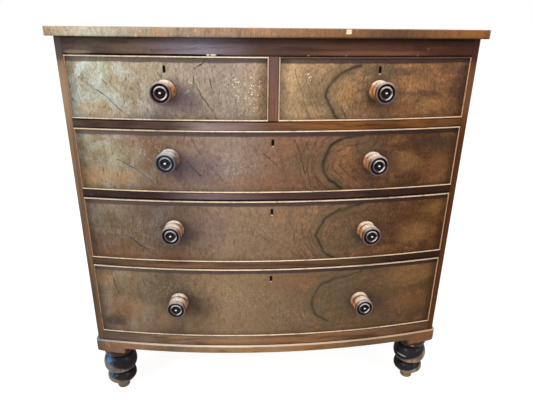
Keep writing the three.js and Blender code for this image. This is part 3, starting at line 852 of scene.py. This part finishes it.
def bead_wood():
    """Level beads are worn pale and carry a painted highlight from above, upright ones keep their tan: each
    strip says how pale it is.
    """
    wood = Finish("lit_and_worn_bead")
    pale = wood.reading("rubbed")
    along = wood.noise(24, 4.0, 0.65)
    fine = wood.noise(150, 3.0, 0.6)
    tan = wood.tones([(-500, 166, 122, 90), (0, 196, 156, 122), (500, 172, 120, 86)])
    cream = wood.tones([(-500, 208, 184, 152), (-100, 242, 218, 186), (500, 222, 186, 152)])
    wood.colour = wood.mix((70, 44, 38), tan, pale.rise(0.0, 0.5))
    wood.coat(cream, pale.rise(0.5, 1.0))
    wood.dim(along.fall(0.30, 0.50) * 0.35 + fine.fall(0.34, 0.46) * 0.3)
    return wood.finish(0.42 + 0.15 * along, fine, 0.1, 0.4, 0.4)


print("edge, plinth and bead finishes are ready")

# %% [markdown]
# Polish and dirt stay in the hollows of a turned piece, and hands rub its high parts. On top of that the
# finish paints shade in the hollows and on the lower side, and highlights on the upper side. So the
# turning keeps four numbers at each point: the distance from the axis, the height along it, and how far
# up and how far to the right of it the point lies. The finish reads those.

# %% Finishes for turned pieces
def turned_readings(wood):
    return (wood.reading(f"turned_{part}") for part in ("radius", "height", "up", "side"))


def knob_wood():
    wood = Finish("knob_polish")
    radius, height, up, side = turned_readings(wood)
    blotch = wood.noise(70, 4.0, 0.6)
    grain = wood.noise((260, 60, 260), 3.0, 0.6)
    # a painted highlight on the upper flank, and painted shade on the lower side
    lit = (up + 12 * (blotch - 0.5)).rise(10, 25)
    wood.colour = wood.mix((136, 90, 62), (196, 136, 88), blotch.rise(0.36, 0.6))
    wood.coat((92, 60, 48), blotch.fall(0.32, 0.45) * 0.7)
    wood.coat((250, 236, 216), lit * (0.5 + 1.1 * (grain - 0.3)).least(0.97))
    wood.dim((up + 6 * (blotch - 0.5)).fall(-22, 1) * 0.82)

    # the rim and the face have kept their old dark polish, and the rim's upper side and its edge get
    # painted highlights
    wood.coat(wood.mix((62, 47, 50), (178, 160, 154), lit), height.rise(41.4, 42.2) * 0.94)
    edge = height.rise(50.2, 51.2) * radius.rise(22.9, 23.6)
    wood.coat((150, 126, 118), edge * (0.2 + 0.5 * blotch))
    on_face = height.rise(44, 45) * radius.fall(22.6, 23.4)
    wood.coat((58, 44, 46), on_face)
    # painted highlights on the crest ring, at its top and lower right
    crest = radius.between(12.9, 16.7, 0.5)
    shine = (up.rise(2, 14) * 0.8).most((side - up).rise(13, 19))
    crest_tone = wood.mix((98, 82, 82), (236, 226, 220), shine)
    wood.coat(crest_tone, crest * on_face * (0.80 + 0.5 * (blotch - 0.5)))
    # painted shade in the grooves of the face and in the waist, deepest at the top
    groove = radius.between(17.4, 21.6, 0.6) + radius.between(3.9, 12.2, 0.6)
    waist = height.between(13.4, 20.0, 0.9) + height.between(40.3, 41.6, 0.5) * 0.7
    dark = (groove * on_face + waist * (1 - on_face) * radius.rise(17, 18)).least(1.0)
    wood.coat((24, 17, 19), dark * (0.70 + 0.25 * up.rise(-12, 6)))
    # a painted reflection of the window on the knobs at the left
    window_reflection = wood.x.fall(-150, -50) * wood.z.fall(840, 900) * 0.15 + wood.patch(-267, 800, 70, 70) * 0.4
    wood.coat(wood.mix((66, 80, 92), (150, 166, 176), lit), window_reflection * (1 - dark * 0.6))
    # a painted highlight on the top of the button
    button = radius.fall(2.2, 3.4) * up.rise(-0.8, 0.6)
    wood.coat((252, 248, 244), button * on_face)
    wood.dim(grain.fall(0.3, 0.5) * 0.25)
    rough = 0.34 + 0.16 * blotch
    return wood.finish(rough, grain, 0.1, 0.35, Coat_Weight=0.35 * (1 - dark), Coat_Roughness=0.16)


def foot_wood():
    """Almost black, with the floor's light in the lower half of each roll and the window's at the left."""
    wood = Finish("foot_polish")
    _, height, _, side = turned_readings(wood)
    blotch = wood.noise((30, 30, 24), 4.0, 0.6)
    grain = wood.noise((60, 60, 16), 4.0, 0.6)
    at_right = wood.x.rise(-100, 100)
    wood.colour = wood.mix((24, 22, 25), (44, 38, 40), blotch.rise(0.40, 0.7))
    lean = side * at_right * 0.9 - side * 0.45 + 6 * (blotch - 0.5)
    upper_roll = height.rise(79, 83) * (height - lean).fall(104, 117)
    lower_halves = upper_roll.most((height - lean * 0.6).fall(52, 61))
    brown = wood.mix((138, 124, 108), (176, 148, 122), at_right)
    brown = wood.mix(brown, (104, 82, 68), grain.rise(0.42, 0.62) * 0.7)
    wood.coat(brown, lower_halves * (0.66 + 0.9 * (blotch - 0.4)).least(0.92).most(0.25))
    at_front = wood.y.fall(-120, -100)
    blue = (wood.x + 30 * (blotch - 0.5)).fall(-512, -484) * (1 - lower_halves) * at_front
    window = wood.mix((54, 72, 104), (98, 140, 196), grain.rise(0.44, 0.60))
    wood.coat(window, blue * blotch.rise(0.38, 0.58) * 0.85)
    glint = wood.patch(474, 156, 7, 4).most(wood.patch(448, 112, 12, 3, 0.8 * (grain - 0.5)))
    wood.coat((210, 204, 198), glint * 0.7)
    wood.coat((70, 44, 30), wood.z.between(150, 172, 4) * 0.5)
    rough = 0.28 + 0.2 * blotch
    return wood.finish(rough, grain, 0.1, 0.3, Coat_Weight=0.10 + 0.15 * blotch, Coat_Roughness=0.10)


def dull_metal(name, light, dark, rough):
    metal = Finish(name)
    mottle = metal.noise(160, 5.0, 0.65)
    tarnish = metal.noise(40, 3.0, 0.5)
    metal.colour = metal.mix(light, dark, (mottle * 0.6 + tarnish * 0.5).rise(0.4, 0.75))
    return metal.finish(rough + 0.25 * tarnish, mottle, 0.08, 0.4, 0.5, Metallic=1.0)


top_tones = [(-500, 176, 138, 100), (500, 156, 104, 60)]
top_face = straight_wood("top_mahogany", ALONG_X, top_tones, (104, 66, 40), shine=0.66, coat=0.3)
top_edge = top_edge_wood()
plinth_finish = plinth_wood()
bead_finish = bead_wood()
knob_finish = knob_wood()
foot_finish = foot_wood()
iron = dull_metal("lock_iron", (132, 126, 118), (84, 72, 62), 0.42)
brass = dull_metal("blackened_brass", (66, 50, 34), (30, 24, 20), 0.5)
# the walls of the keyhole's bore are painted near black: painted shade inside the hole
bore_black = straight_wood(
    "keyhole_bore_shade", ALONG_Y, [(0, 22, 16, 14)] * 2, (10, 8, 8), shine=0.2, wear=0.0,
)
print("all finishes are ready")

# %% [markdown]
# ## Boards with soft arrises
#
# Real edges have been planed off a little and knocked for two hundred years, and there a board catches
# the light. Each board is a copy of its solid: its triangles are joined to whole faces, a bevel rounds
# every arris, and the copy stands in for the solid.

# %% Copy, merge and round a board
def only(obj):
    """Select one object alone and make it active."""
    bpy.ops.object.select_all(action="DESELECT")
    obj.select_set(True)
    bpy.context.view_layer.objects.active = obj


@contextmanager
def editing(piece):
    """Edit mode on one piece, with all of it selected."""
    only(piece)
    bpy.ops.object.mode_set(mode="EDIT")
    bpy.ops.mesh.select_all(action="SELECT")
    yield
    bpy.ops.object.mode_set(mode="OBJECT")


def finish_with(obj, kind, **settings):
    """Add a modifier and apply it."""
    only(obj)
    modifier = obj.modifiers.new(kind.lower(), kind)
    for key, setting in settings.items():
        setattr(modifier, key, setting)
    bpy.ops.object.modifier_apply(modifier=modifier.name)


def soften(piece, width, steps=2, degrees=30):
    """Round the edges that turn by more than an angle."""
    limit = {"limit_method": "ANGLE", "angle_limit": math.radians(degrees)}
    finish_with(piece, "BEVEL", width=width, segments=steps, **limit)


def smooth(piece, degrees=40):
    only(piece)
    bpy.ops.object.shade_smooth_by_angle(angle=math.radians(degrees))


def settle(obj, place=None):
    """Put an object at a place and turn, and carry that into its mesh."""
    if place is not None:
        obj.matrix_world = place
    only(obj)
    bpy.ops.object.transform_apply(location=True, rotation=True, scale=True)


def joined(name, pieces):
    """Join several pieces into one named object."""
    only(pieces[0])
    for piece in pieces:
        piece.select_set(True)
    bpy.ops.object.join()
    pieces[0].name = name
    return pieces[0]


def dress(piece, material, body, node=None):
    """Give a piece its only material and its body, and hide the solid that it stands in for."""
    piece.data.materials.clear()
    piece.data.materials.append(material)
    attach(piece, body)
    if node:
        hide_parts(node)


def merged_copy(node):
    piece = bpy.data.objects.new(f"dressed_{node}", frame["nodes"][node].data.copy())
    scene.collection.objects.link(piece)
    with editing(piece):
        bpy.ops.mesh.remove_doubles(threshold=0.01 * MM)
        bpy.ops.mesh.dissolve_limited(angle_limit=math.radians(0.4))
    return piece


def soft_board(node, material, arris=0.8 * MM, steps=2):
    piece = merged_copy(node)
    soften(piece, arris, steps, 35)
    smooth(piece)
    dress(piece, material, body_of[node], node)
    return piece


def coat_faces(piece, material, chosen):
    """Give one more material to the faces whose middle and normal pass a test."""
    piece.data.materials.append(material)
    last = len(piece.data.materials) - 1
    for face in piece.data.polygons:
        if chosen(face.center, face.normal):
            face.material_index = last


case_woods = {
    "side_left": side_wood,
    "side_right": side_wood,
    "divider_upper": upper_rail,
    "divider_middle": middle_rail,
    "divider_lower": lower_rail,
    "base_rail": base_wood,
}
for node, material in case_woods.items():
    soft_board(node, material)
soft_board("frieze_rail", frieze_wood, 0.6 * MM)
soft_board("partition", partition_wood)
soft_board("bottom_board", pine_crosswise)
soft_board("back_top_rail", pine_crosswise)
top = soft_board("top_board", top_face, 1.6 * MM, 3)
coat_faces(top, top_edge, lambda middle, normal: normal.z < 0.7)
print("the case is dressed")

# %% [markdown]
# ## Plinth
#
# The upper edge of this moulding has been worn round, and its finish paints a highlight along it. That edge
# and the lower corners of the blocks are picked by their places and rounded before the small bevel.

# %% Round the edges of the plinth
PLINTH_ROUND = 3.2 * MM
BLOCK_ROUND = 6.8 * MM
BLOCK_CORNER = 7.2 * MM
NEAR = 0.1 * MM


def pick(piece, chosen, kind="EDGE"):
    """In edit mode, select the edges or faces whose points all pass a test."""
    bpy.ops.mesh.select_mode(type=kind)
    bpy.ops.mesh.select_all(action="DESELECT")
    mesh = bmesh.from_edit_mesh(piece.data)
    for part in mesh.edges if kind == "EDGE" else mesh.faces:
        part.select_set(all(chosen(vertex.co) for vertex in part.verts))
    bmesh.update_edit_mesh(piece.data)


plinth = merged_copy("plinth")
plinth_low, plinth_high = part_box("plinth")
plinth_proud = middle_y - plinth_low.y


def on_upper_outline(point):
    at_front = point.y < front_y(point.x, -plinth_proud) + 4 * MM
    return point.z > plinth_high.z - NEAR and (at_front or abs(point.x) > plinth_high.x - NEAR)


def on_lower_corner(point):
    return point.z < plinth_low.z + NEAR and abs(point.x) > plinth_high.x - BLOCK_CORNER


with editing(plinth):
    pick(plinth, on_upper_outline)
    bpy.ops.mesh.bevel(offset=PLINTH_ROUND, segments=5, affect="EDGES", clamp_overlap=True)
    pick(plinth, on_lower_corner)
    bpy.ops.mesh.bevel(offset=BLOCK_ROUND, segments=6, affect="EDGES", clamp_overlap=False)
soften(plinth, 0.7 * MM, 2, 35)
smooth(plinth)
dress(plinth, plinth_finish, "carcase", "plinth")
print(len(plinth.data.polygons), "faces in the plinth")

# %% [markdown]
# ## Turned feet and knobs
#
# A turner takes rings away from a blank. Here the piece grows the other way: a disc is extruded step by
# step along its axis, and each new ring is scaled to the radius of the outline there. An arc function
# rounds the hollows and rolls of the outline.

# %% Turn a piece from its outline
def arc(middle, reach, start, end, steps):
    """Points of a roll or a hollow: part of an ellipse in [radius, height]."""
    angles = [math.radians(start + (end - start) * step / steps) for step in range(steps + 1)]
    return [
        (middle[0] + reach[0] * math.cos(angle), middle[1] + reach[1] * math.sin(angle))
        for angle in angles
    ]


def note(piece, key, reading):
    """Keep a number at each point of a piece, for its finish to read."""
    kept = piece.data.attributes.new(key, "FLOAT", "POINT")
    for vertex in piece.data.vertices:
        kept.data[vertex.index].value = reading(vertex.co)


def added(name, add, **settings):
    """A new simple mesh, added with nothing selected."""
    bpy.ops.object.select_all(action="DESELECT")
    add(**settings)
    piece = bpy.context.object
    piece.name = name
    return piece


def pull(x, y, z):
    """In edit mode, extrude what is selected."""
    bpy.ops.mesh.extrude_region_move(TRANSFORM_OT_translate={"value": (x, y, z)})


def face_out():
    """In edit mode, turn all faces outwards."""
    bpy.ops.mesh.select_all(action="SELECT")
    bpy.ops.mesh.normals_make_consistent(inside=False)


def turned(name, outline, facets):
    """Extrude a disc along +Z through [radius, height] points given in millimetres."""
    (radius, height), *rings = outline
    disc = {"vertices": facets, "radius": radius * MM, "location": (0, 0, height * MM)}
    piece = added(name, bpy.ops.mesh.primitive_circle_add, fill_type="NGON", **disc)
    settle(piece)
    with editing(piece):
        for next_radius, next_height in rings:
            pull(0, 0, (next_height - height) * MM)
            scale = next_radius / radius
            bpy.ops.transform.resize(value=(scale, scale, 1), center_override=(0, 0, next_height * MM))
            radius, height = next_radius, next_height
        face_out()
    smooth(piece, 50)
    note(piece, "turned_radius", lambda point: point.xy.length / MM)
    note(piece, "turned_height", lambda point: point.z / MM)
    note(piece, "turned_up", lambda point: point.y / MM)
    note(piece, "turned_side", lambda point: point.x / MM)
    return piece


def copy_to(master, name, place):
    """A copy with its own mesh, settled at a place."""
    piece = bpy.data.objects.new(name, master.data.copy())
    scene.collection.objects.link(piece)
    settle(piece, place)
    return piece


print("the lathe is ready")

# %% The knobs
KNOB_FACETS = 56
FACE_FORWARD = turn(90, "X")

knob_outline = [
    (8.0, -24.0), (8.0, 0.3), (23.2, 0.3),
    *arc((22.8, 6.8), (4.1, 6.5), -80, 70, 10),
    *arc((24.6, 16.6), (5.6, 3.8), 240, 120, 8),
    *arc((22.9, 25.4), (3.0, 4.0), -80, 0, 6),
    (26.0, 31.0), (26.1, 39.4), (24.6, 41.2),
    *arc((24.4, 46.8), (2.5, 4.9), -80, 95, 12),
    *arc((19.4, 51.2), (2.7, 4.6), 0, -180, 9),
    *arc((14.8, 50.2), (1.9, 1.8), 0, 180, 8),
    *arc((9.0, 49.8), (3.6, 5.0), 0, -90, 6),
    (5.2, 44.8),
    *arc((0.0, 49.6), (4.2, 4.9), -45, 88, 10),
]
master_knob = turned("knob", knob_outline, KNOB_FACETS)
for drawer in sheets:
    for node in knob_nodes(drawer):
        place = at_bow(station_of(node), axis_of(node).z) @ FACE_FORWARD
        knob = copy_to(master_knob, f"turned_{node}", place)
        dress(knob, knob_finish, drawer, node)
bpy.data.objects.remove(master_knob)
print(len(knob_outline), "rings on each knob")

# %% The feet
FOOT_FACETS = 64

foot_outline = [
    (12.0, 0.0),
    *arc((13.0, 7.0), (6.6, 6.8), -80, 60, 8),
    *arc((21.6, 16.8), (3.4, 3.6), 235, 160, 4),
    (22.2, 21.0), (28.2, 27.4), (34.6, 33.8), (40.0, 39.0), (43.6, 43.4), (45.5, 47.4),
    *arc((27.0, 50.0), (19.0, 28.0), 2, 74, 9),
    *arc((33.2, 78.4), (3.6, 1.7), 230, 130, 4),
    *arc((31.0, 106.0), (21.0, 27.0), -74, 0, 11),
    *arc((31.0, 106.0), (21.0, 38.0), 8, 76, 9),
    *arc((38.0, 144.5), (2.6, 1.6), 230, 130, 3),
    *arc((38.0, 162.0), (9.0, 16.5), -72, 84, 10),
    (30.0, 178.7), (14.0, 178.7), (14.0, 209.0),
]
master_foot = turned("foot", foot_outline, FOOT_FACETS)
for node in ("foot_front_left", "foot_front_right", "foot_back_left", "foot_back_right"):
    heart = axis_of(node)
    foot = copy_to(master_foot, f"turned_{node}", Matrix.Translation((heart.x, heart.y, 0)))
    dress(foot, foot_finish, "carcase", node)
bpy.data.objects.remove(master_foot)
print(len(foot_outline), "rings on each foot")

# %% [markdown]
# ## Cockbeads
#
# A cockbead is a thin strip with a rounded nose that frames a drawer front. A level strip is its end
# shape spun about the centre of the bow, an upright one is the same shape pulled up, and all four are
# mitred at the corners.

# %% Spin, cut and join the beads
NOSE_STEPS = 7
BEAD_WIDE = 3 * MM
BEAD_PROUD = 2.5 * MM
BEAD_SEAT = 9.6 * MM
STEPS_PER_METRE = 48


def block(name, low, high, add=bpy.ops.mesh.primitive_cube_add):
    """A cube or a plane, stretched between two corners."""
    low, high = Vector(low), Vector(high)
    piece = added(name, add, size=1, location=(low + high) / 2)
    piece.scale = [length or 1 for length in high - low]
    settle(piece)
    return piece


def bead_end(name):
    """The end shape of a bead, nose towards -Y: a plane with one edge pulled out to a round."""
    corner = Vector((BEAD_WIDE / 2, BEAD_SEAT, 0))
    piece = block(name, (-corner.x, 0, 0), corner, bpy.ops.mesh.primitive_plane_add)
    angles = [math.radians(84) * step / NOSE_STEPS for step in range(NOSE_STEPS + 1)]
    with editing(piece):
        pick(piece, lambda point: point.y < BEAD_SEAT / 2)
        for before, after in zip(angles, angles[1:]):
            pull(0, BEAD_PROUD * (math.sin(before) - math.sin(after)), 0)
            narrow = math.cos(after) / math.cos(before)
            bpy.ops.transform.resize(value=(narrow, 1, 1), center_override=(0, 0, 0))
    return piece


def cut(piece, point, normal):
    """Cut away what lies on the normal's side of a plane, and close the cut."""
    with editing(piece):
        bpy.ops.mesh.bisect(plane_co=point, plane_no=normal, use_fill=True, clear_outer=True)


def close_up():
    """In edit mode, merge doubled points and turn all faces outwards."""
    bpy.ops.mesh.select_all(action="SELECT")
    bpy.ops.mesh.remove_doubles(threshold=0.005 * MM)
    face_out()


def level_bead(low, high, z):
    left, right = low.x - BEAD_WIDE, high.x + BEAD_WIDE
    piece = bead_end("level_bead")
    settle(piece, at_bow(left, z) @ turn(90, "Y"))
    angle = math.asin(left / bow_radius) - math.asin(right / bow_radius)
    steps = math.ceil(STEPS_PER_METRE * (high.x - low.x))
    with editing(piece):
        bpy.ops.mesh.spin(steps=steps, angle=angle, center=(0, bow_centre_y, 0), axis=(0, 0, 1))
        close_up()
    return piece


def upright_bead(x, low, high):
    piece = bead_end("upright_bead")
    settle(piece, Matrix.Translation((x, front_y(x), low.z - BEAD_WIDE)))
    with editing(piece):
        pull(0, 0, high.z - low.z + 2 * BEAD_WIDE)
        close_up()
    return piece


for drawer in sheets:
    low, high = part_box(f"{drawer}_cockbead")
    strips = []
    for up, corner_z in ((-1, low.z), (1, high.z)):
        strip = level_bead(low, high, corner_z - up * BEAD_WIDE / 2)
        cut(strip, (low.x, 0, corner_z), (-1, 0, -up))
        cut(strip, (high.x, 0, corner_z), (1, 0, -up))
        # each strip is as pale as its painted highlight and wear make it; the top strip of the top right
        # drawer stays dark
        rubbed = 0.12 if drawer == "top_right_drawer" and up > 0 else 1.0
        note(strip, "rubbed", lambda point: rubbed)
        strips.append(strip)
    for right, corner_x in ((-1, low.x), (1, high.x)):
        strip = upright_bead(corner_x - right * BEAD_WIDE / 2, low, high)
        cut(strip, (corner_x, 0, low.z), (-right, 0, -1))
        cut(strip, (corner_x, 0, high.z), (-right, 0, 1))
        note(strip, "rubbed", lambda point: 0.5 if corner_x < -0.1 else 0.7)
        strips.append(strip)
    bead = joined(f"{drawer}_beads", strips)
    smooth(bead)
    dress(bead, bead_finish, drawer, f"{drawer}_cockbead")
print(len(bead.data.polygons), "faces in the last set of beads")

# %% [markdown]
# ## Drawers
#
# A drawer is a bowed front with oak sides and back, and a thin bottom in grooves. The dovetails at the
# ends of the front show only when a drawer stands open, so the finish draws them: it knows how far each
# point is from the front end and from the bottom of its board.

# %% Oak sides with dovetails
PIN_PITCH = 36
PIN_DEPTH = 10.5
VENEER_DEEP = 2 * MM
BORE_HALF = 6 * MM
BORE_DEEP = 14 * MM
BORE_ABOVE_FOOT = 20 * MM
BORE_BELOW_TOP = 15 * MM


def with_dovetails(wood):
    back = wood.reading("from_front")
    beside = ((wood.reading("from_bottom") / PIN_PITCH).math("FRACT") - 0.5).size() * PIN_PITCH
    beside = beside - (2.2 + 0.3 * back)
    inside = back.fall(PIN_DEPTH - 0.2, PIN_DEPTH + 0.2)
    wood.coat((112, 74, 48), beside.fall(-0.2, 0.2) * inside * 0.85)
    outline = (beside.size().fall(0, 0.7) * inside).most((back - PIN_DEPTH).size().fall(0, 0.6))
    wood.coat((60, 44, 32), outline * 0.6)


oak_sides = straight_wood("oak_sides", ALONG_Y, oak_tones, oak_dark, with_dovetails, shine=0.3, wear=0.15)
for drawer in sheets:
    low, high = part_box(f"{drawer}_front")
    key_x = station_of(f"{drawer}_lock_bolt")
    front = soft_board(f"{drawer}_front", core_wood, 0.5 * MM)
    coat_faces(
        front, veneers[drawer],
        lambda middle, normal: normal.y < -0.5 and middle.y < front_y(middle.x) + VENEER_DEEP,
    )
    # the bore of each keyhole gets that near black painted shade
    coat_faces(
        front, bore_black,
        lambda middle, normal: abs(middle.x - key_x) < BORE_HALF and abs(normal.y) < 0.7
        and low.z + BORE_ABOVE_FOOT < middle.z < high.z - BORE_BELOW_TOP
        and middle.y < front_y(middle.x) + BORE_DEEP,
    )
    for end in ("left", "right"):
        node = f"{drawer}_side_{end}"
        board = soft_board(node, oak_sides, 0.7 * MM)
        front_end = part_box(node)[0].y
        note(board, "from_front", lambda point: (point.y - front_end) / MM)
        note(board, "from_bottom", lambda point: (point.z - low.z) / MM)
    soft_board(f"{drawer}_back", oak_crosswise, 0.7 * MM)
    soft_board(f"{drawer}_bottom", oak_crosswise, 0.5 * MM, 1)
print(len(front.data.polygons), "faces in the last drawer front")

# %% [markdown]
# ## Locks
#
# Behind each keyhole sits an iron lock, let into the back of the front. From outside only the keyhole
# shows, lined with a thin brass strip. Each lock is modelled once at the origin, square to -Y, and
# copied to the middle of its drawer.

# %% Keyhole liner
KEYHOLE_RADIUS = 2.9 * MM
SLOT_END = 12.3 * MM
LINER_DEEP = 5 * MM
LINER_THICK = 0.45 * MM

ring = {"vertices": 32, "radius": KEYHOLE_RADIUS, "fill_type": "NOTHING", "location": (0, 0, 0)}
master_liner = added("keyhole_liner", bpy.ops.mesh.primitive_circle_add, **ring)
with editing(master_liner):
    pick(master_liner, lambda point: point.y < -0.86 * KEYHOLE_RADIUS)
    bpy.ops.transform.resize(value=(1, 0, 1), center_override=(0, -KEYHOLE_RADIUS, 0))
    bpy.ops.transform.translate(value=(0, KEYHOLE_RADIUS - SLOT_END, 0))
    bpy.ops.mesh.select_all(action="SELECT")
    pull(0, 0, -LINER_DEEP)
    face_out()
finish_with(master_liner, "SOLIDIFY", thickness=LINER_THICK, offset=-1.0)
soften(master_liner, 0.12 * MM)
smooth(master_liner)
print(len(master_liner.data.polygons), "faces in a liner")

# %% Lock case and screws
LOCK_HALF = 29.4 * MM
LOCK_TALL = 45.4 * MM
PLATE = 1.5 * MM
PLATE_FRONT = 12.5 * MM
PLATE_BACK = 23.7 * MM
PLATE_DROP = 0.5 * MM
BACK_DROP = 0.6 * MM
NOTCH_HALF = 12.8 * MM
NOTCH_BACK = 18.0 * MM
SCREWS = ((-24, -8, 20), (24, -8, -35), (-24, -40, 70), (24, -40, 5))


def round_block(name, low, high, arris):
    piece = block(name, low, high)
    soften(piece, arris)
    return piece


def in_notch(point):
    return abs(point.x) < NOTCH_HALF + NEAR and point.y < NOTCH_BACK + NEAR


back_plate = round_block(
    "back_plate", (-LOCK_HALF, PLATE_BACK - PLATE, -LOCK_TALL), (LOCK_HALF, PLATE_BACK, -BACK_DROP),
    0.4 * MM,
)
top_plate = block(
    "top_plate", (-LOCK_HALF, PLATE_FRONT, -PLATE_DROP), (LOCK_HALF, PLATE_BACK, -PLATE_DROP),
    bpy.ops.mesh.primitive_plane_add,
)
notch_sides = [((x, 0, 0), ALONG_X) for x in (-NOTCH_HALF, NOTCH_HALF)]
with editing(top_plate):
    for point, normal in (*notch_sides, ((0, NOTCH_BACK, 0), ALONG_Y)):
        bpy.ops.mesh.select_all(action="SELECT")
        bpy.ops.mesh.bisect(plane_co=point, plane_no=normal)
    pick(top_plate, in_notch, "FACE")
    bpy.ops.mesh.delete(type="FACE")
finish_with(top_plate, "SOLIDIFY", thickness=PLATE, offset=-1.0)
soften(top_plate, 0.2 * MM)
screw_outline = [(3.4, -1.0), (3.4, 0.15), (3.1, 0.5), (2.3, 0.85), (1.2, 1.02), (0.1, 1.08)]
master_screw = turned("screw", screw_outline, 24)
slot = round_block("slot", (-4 * MM, -0.45 * MM, 0.35 * MM), (4 * MM, 0.45 * MM, 2 * MM), 0.05 * MM)
finish_with(master_screw, "BOOLEAN", object=slot, operation="DIFFERENCE", solver="EXACT")
bpy.data.objects.remove(slot)
screws = []
for x, z, degrees in SCREWS:
    place = Matrix.Translation((x * MM, PLATE_BACK, z * MM)) @ turn(-90, "X") @ turn(degrees, "Z")
    screws.append(copy_to(master_screw, "screw", place))
master_lock = joined("lock", [back_plate, top_plate, *screws])
for drawer in sheets:
    top_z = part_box(f"{drawer}_front")[1].z
    x = station_of(f"{drawer}_lock_bolt")
    lock = copy_to(master_lock, f"{drawer}_lock_case", at_bow(x, top_z))
    dress(lock, iron, drawer)
    liner = copy_to(master_liner, f"{drawer}_keyhole_liner", at_bow(x, top_z - KEYHOLE_DROP) @ FACE_FORWARD)
    dress(liner, brass, drawer)
    soft_board(f"{drawer}_lock_bolt", iron, 0.5 * MM)
for master in (master_lock, master_liner, master_screw):
    bpy.data.objects.remove(master)
print("five locks with", len(screws), "screws each")

# %% [markdown]
# ## Back, stops and nails
#
# The back is a row of upright pine boards, nailed to the case. Each is the whole back cut down to its
# own width, with soft arrises that leave a fine V between the boards. Small oak blocks on the shelves
# stop each drawer when its front is flush.

# %% Back boards and nails
PLANK_EDGES = (-0.352, -0.171, 0.012, 0.178, 0.357)
PLANK_GAP = 0.25 * MM
NAIL_INSET = 0.05 * MM

back_low, back_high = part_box("back_boards")
edges = (back_low.x - PLANK_GAP, *PLANK_EDGES, back_high.x + PLANK_GAP)
nail_outline = [(3.0, -2.0), (3.0, -0.5), (2.6, -0.15), (1.6, 0.0), (0.1, 0.0)]
nail_heights = (back_low.z + 18 * MM, (back_low.z + back_high.z) / 2 + 40 * MM, back_high.z - 16 * MM)
master_nail = turned("nail", nail_outline, 12)
planks = []
nails = []
for left, right in zip(edges, edges[1:]):
    plank = merged_copy("back_boards")
    cut(plank, (left + PLANK_GAP, 0, 0), (-1, 0, 0))
    cut(plank, (right - PLANK_GAP, 0, 0), (1, 0, 0))
    soften(plank, 1.4 * MM)
    planks.append(plank)
    for share in (0.18, 0.8):
        for height in nail_heights:
            place = Matrix.Translation((left + share * (right - left), back_high.y - NAIL_INSET, height))
            nails.append(copy_to(master_nail, "nail", place @ turn(-90, "X")))
bpy.data.objects.remove(master_nail)
back = joined("back_planks", planks)
smooth(back)
dress(back, pine_upright, "carcase", "back_boards")
dress(joined("back_nails", nails), iron, "carcase")
print(len(planks), "boards,", len(nails), "nails")

# %% Drawer stops
STOP_HALF = 20 * MM
STOP_DEEP = 22 * MM
STOP_TALL = 4.5 * MM
STOP_GAP = 0.8 * MM
FRONT_THICK = 24 * MM

stops = []
for drawer in sheets:
    low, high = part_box(f"{drawer}_front")
    for share in (0.2, 0.8):
        near_corner = (-STOP_HALF, FRONT_THICK + STOP_GAP, 0)
        far_corner = (STOP_HALF, FRONT_THICK + STOP_DEEP, STOP_TALL)
        stop = round_block("stop", near_corner, far_corner, 1.2 * MM)
        settle(stop, at_bow(low.x + share * (high.x - low.x), low.z - 0.25 * MM))
        stops.append(stop)
dress(joined("drawer_stops", stops), oak_crosswise, "carcase")
print(len(stops), "drawer stops")

# %% [markdown]
# ## Size
#
# The dressed chest has to fill the same box as the solids, so both boxes are written side by side.

# %% Print the two boxes and finish
dressed_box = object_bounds()


import json
for name, bounds in (("solids", cad_box), ("dressed", dressed_box)):
    low, high = bounds
    print(name, [round((end - start) / MM, 1) for start, end in zip(low, high)])
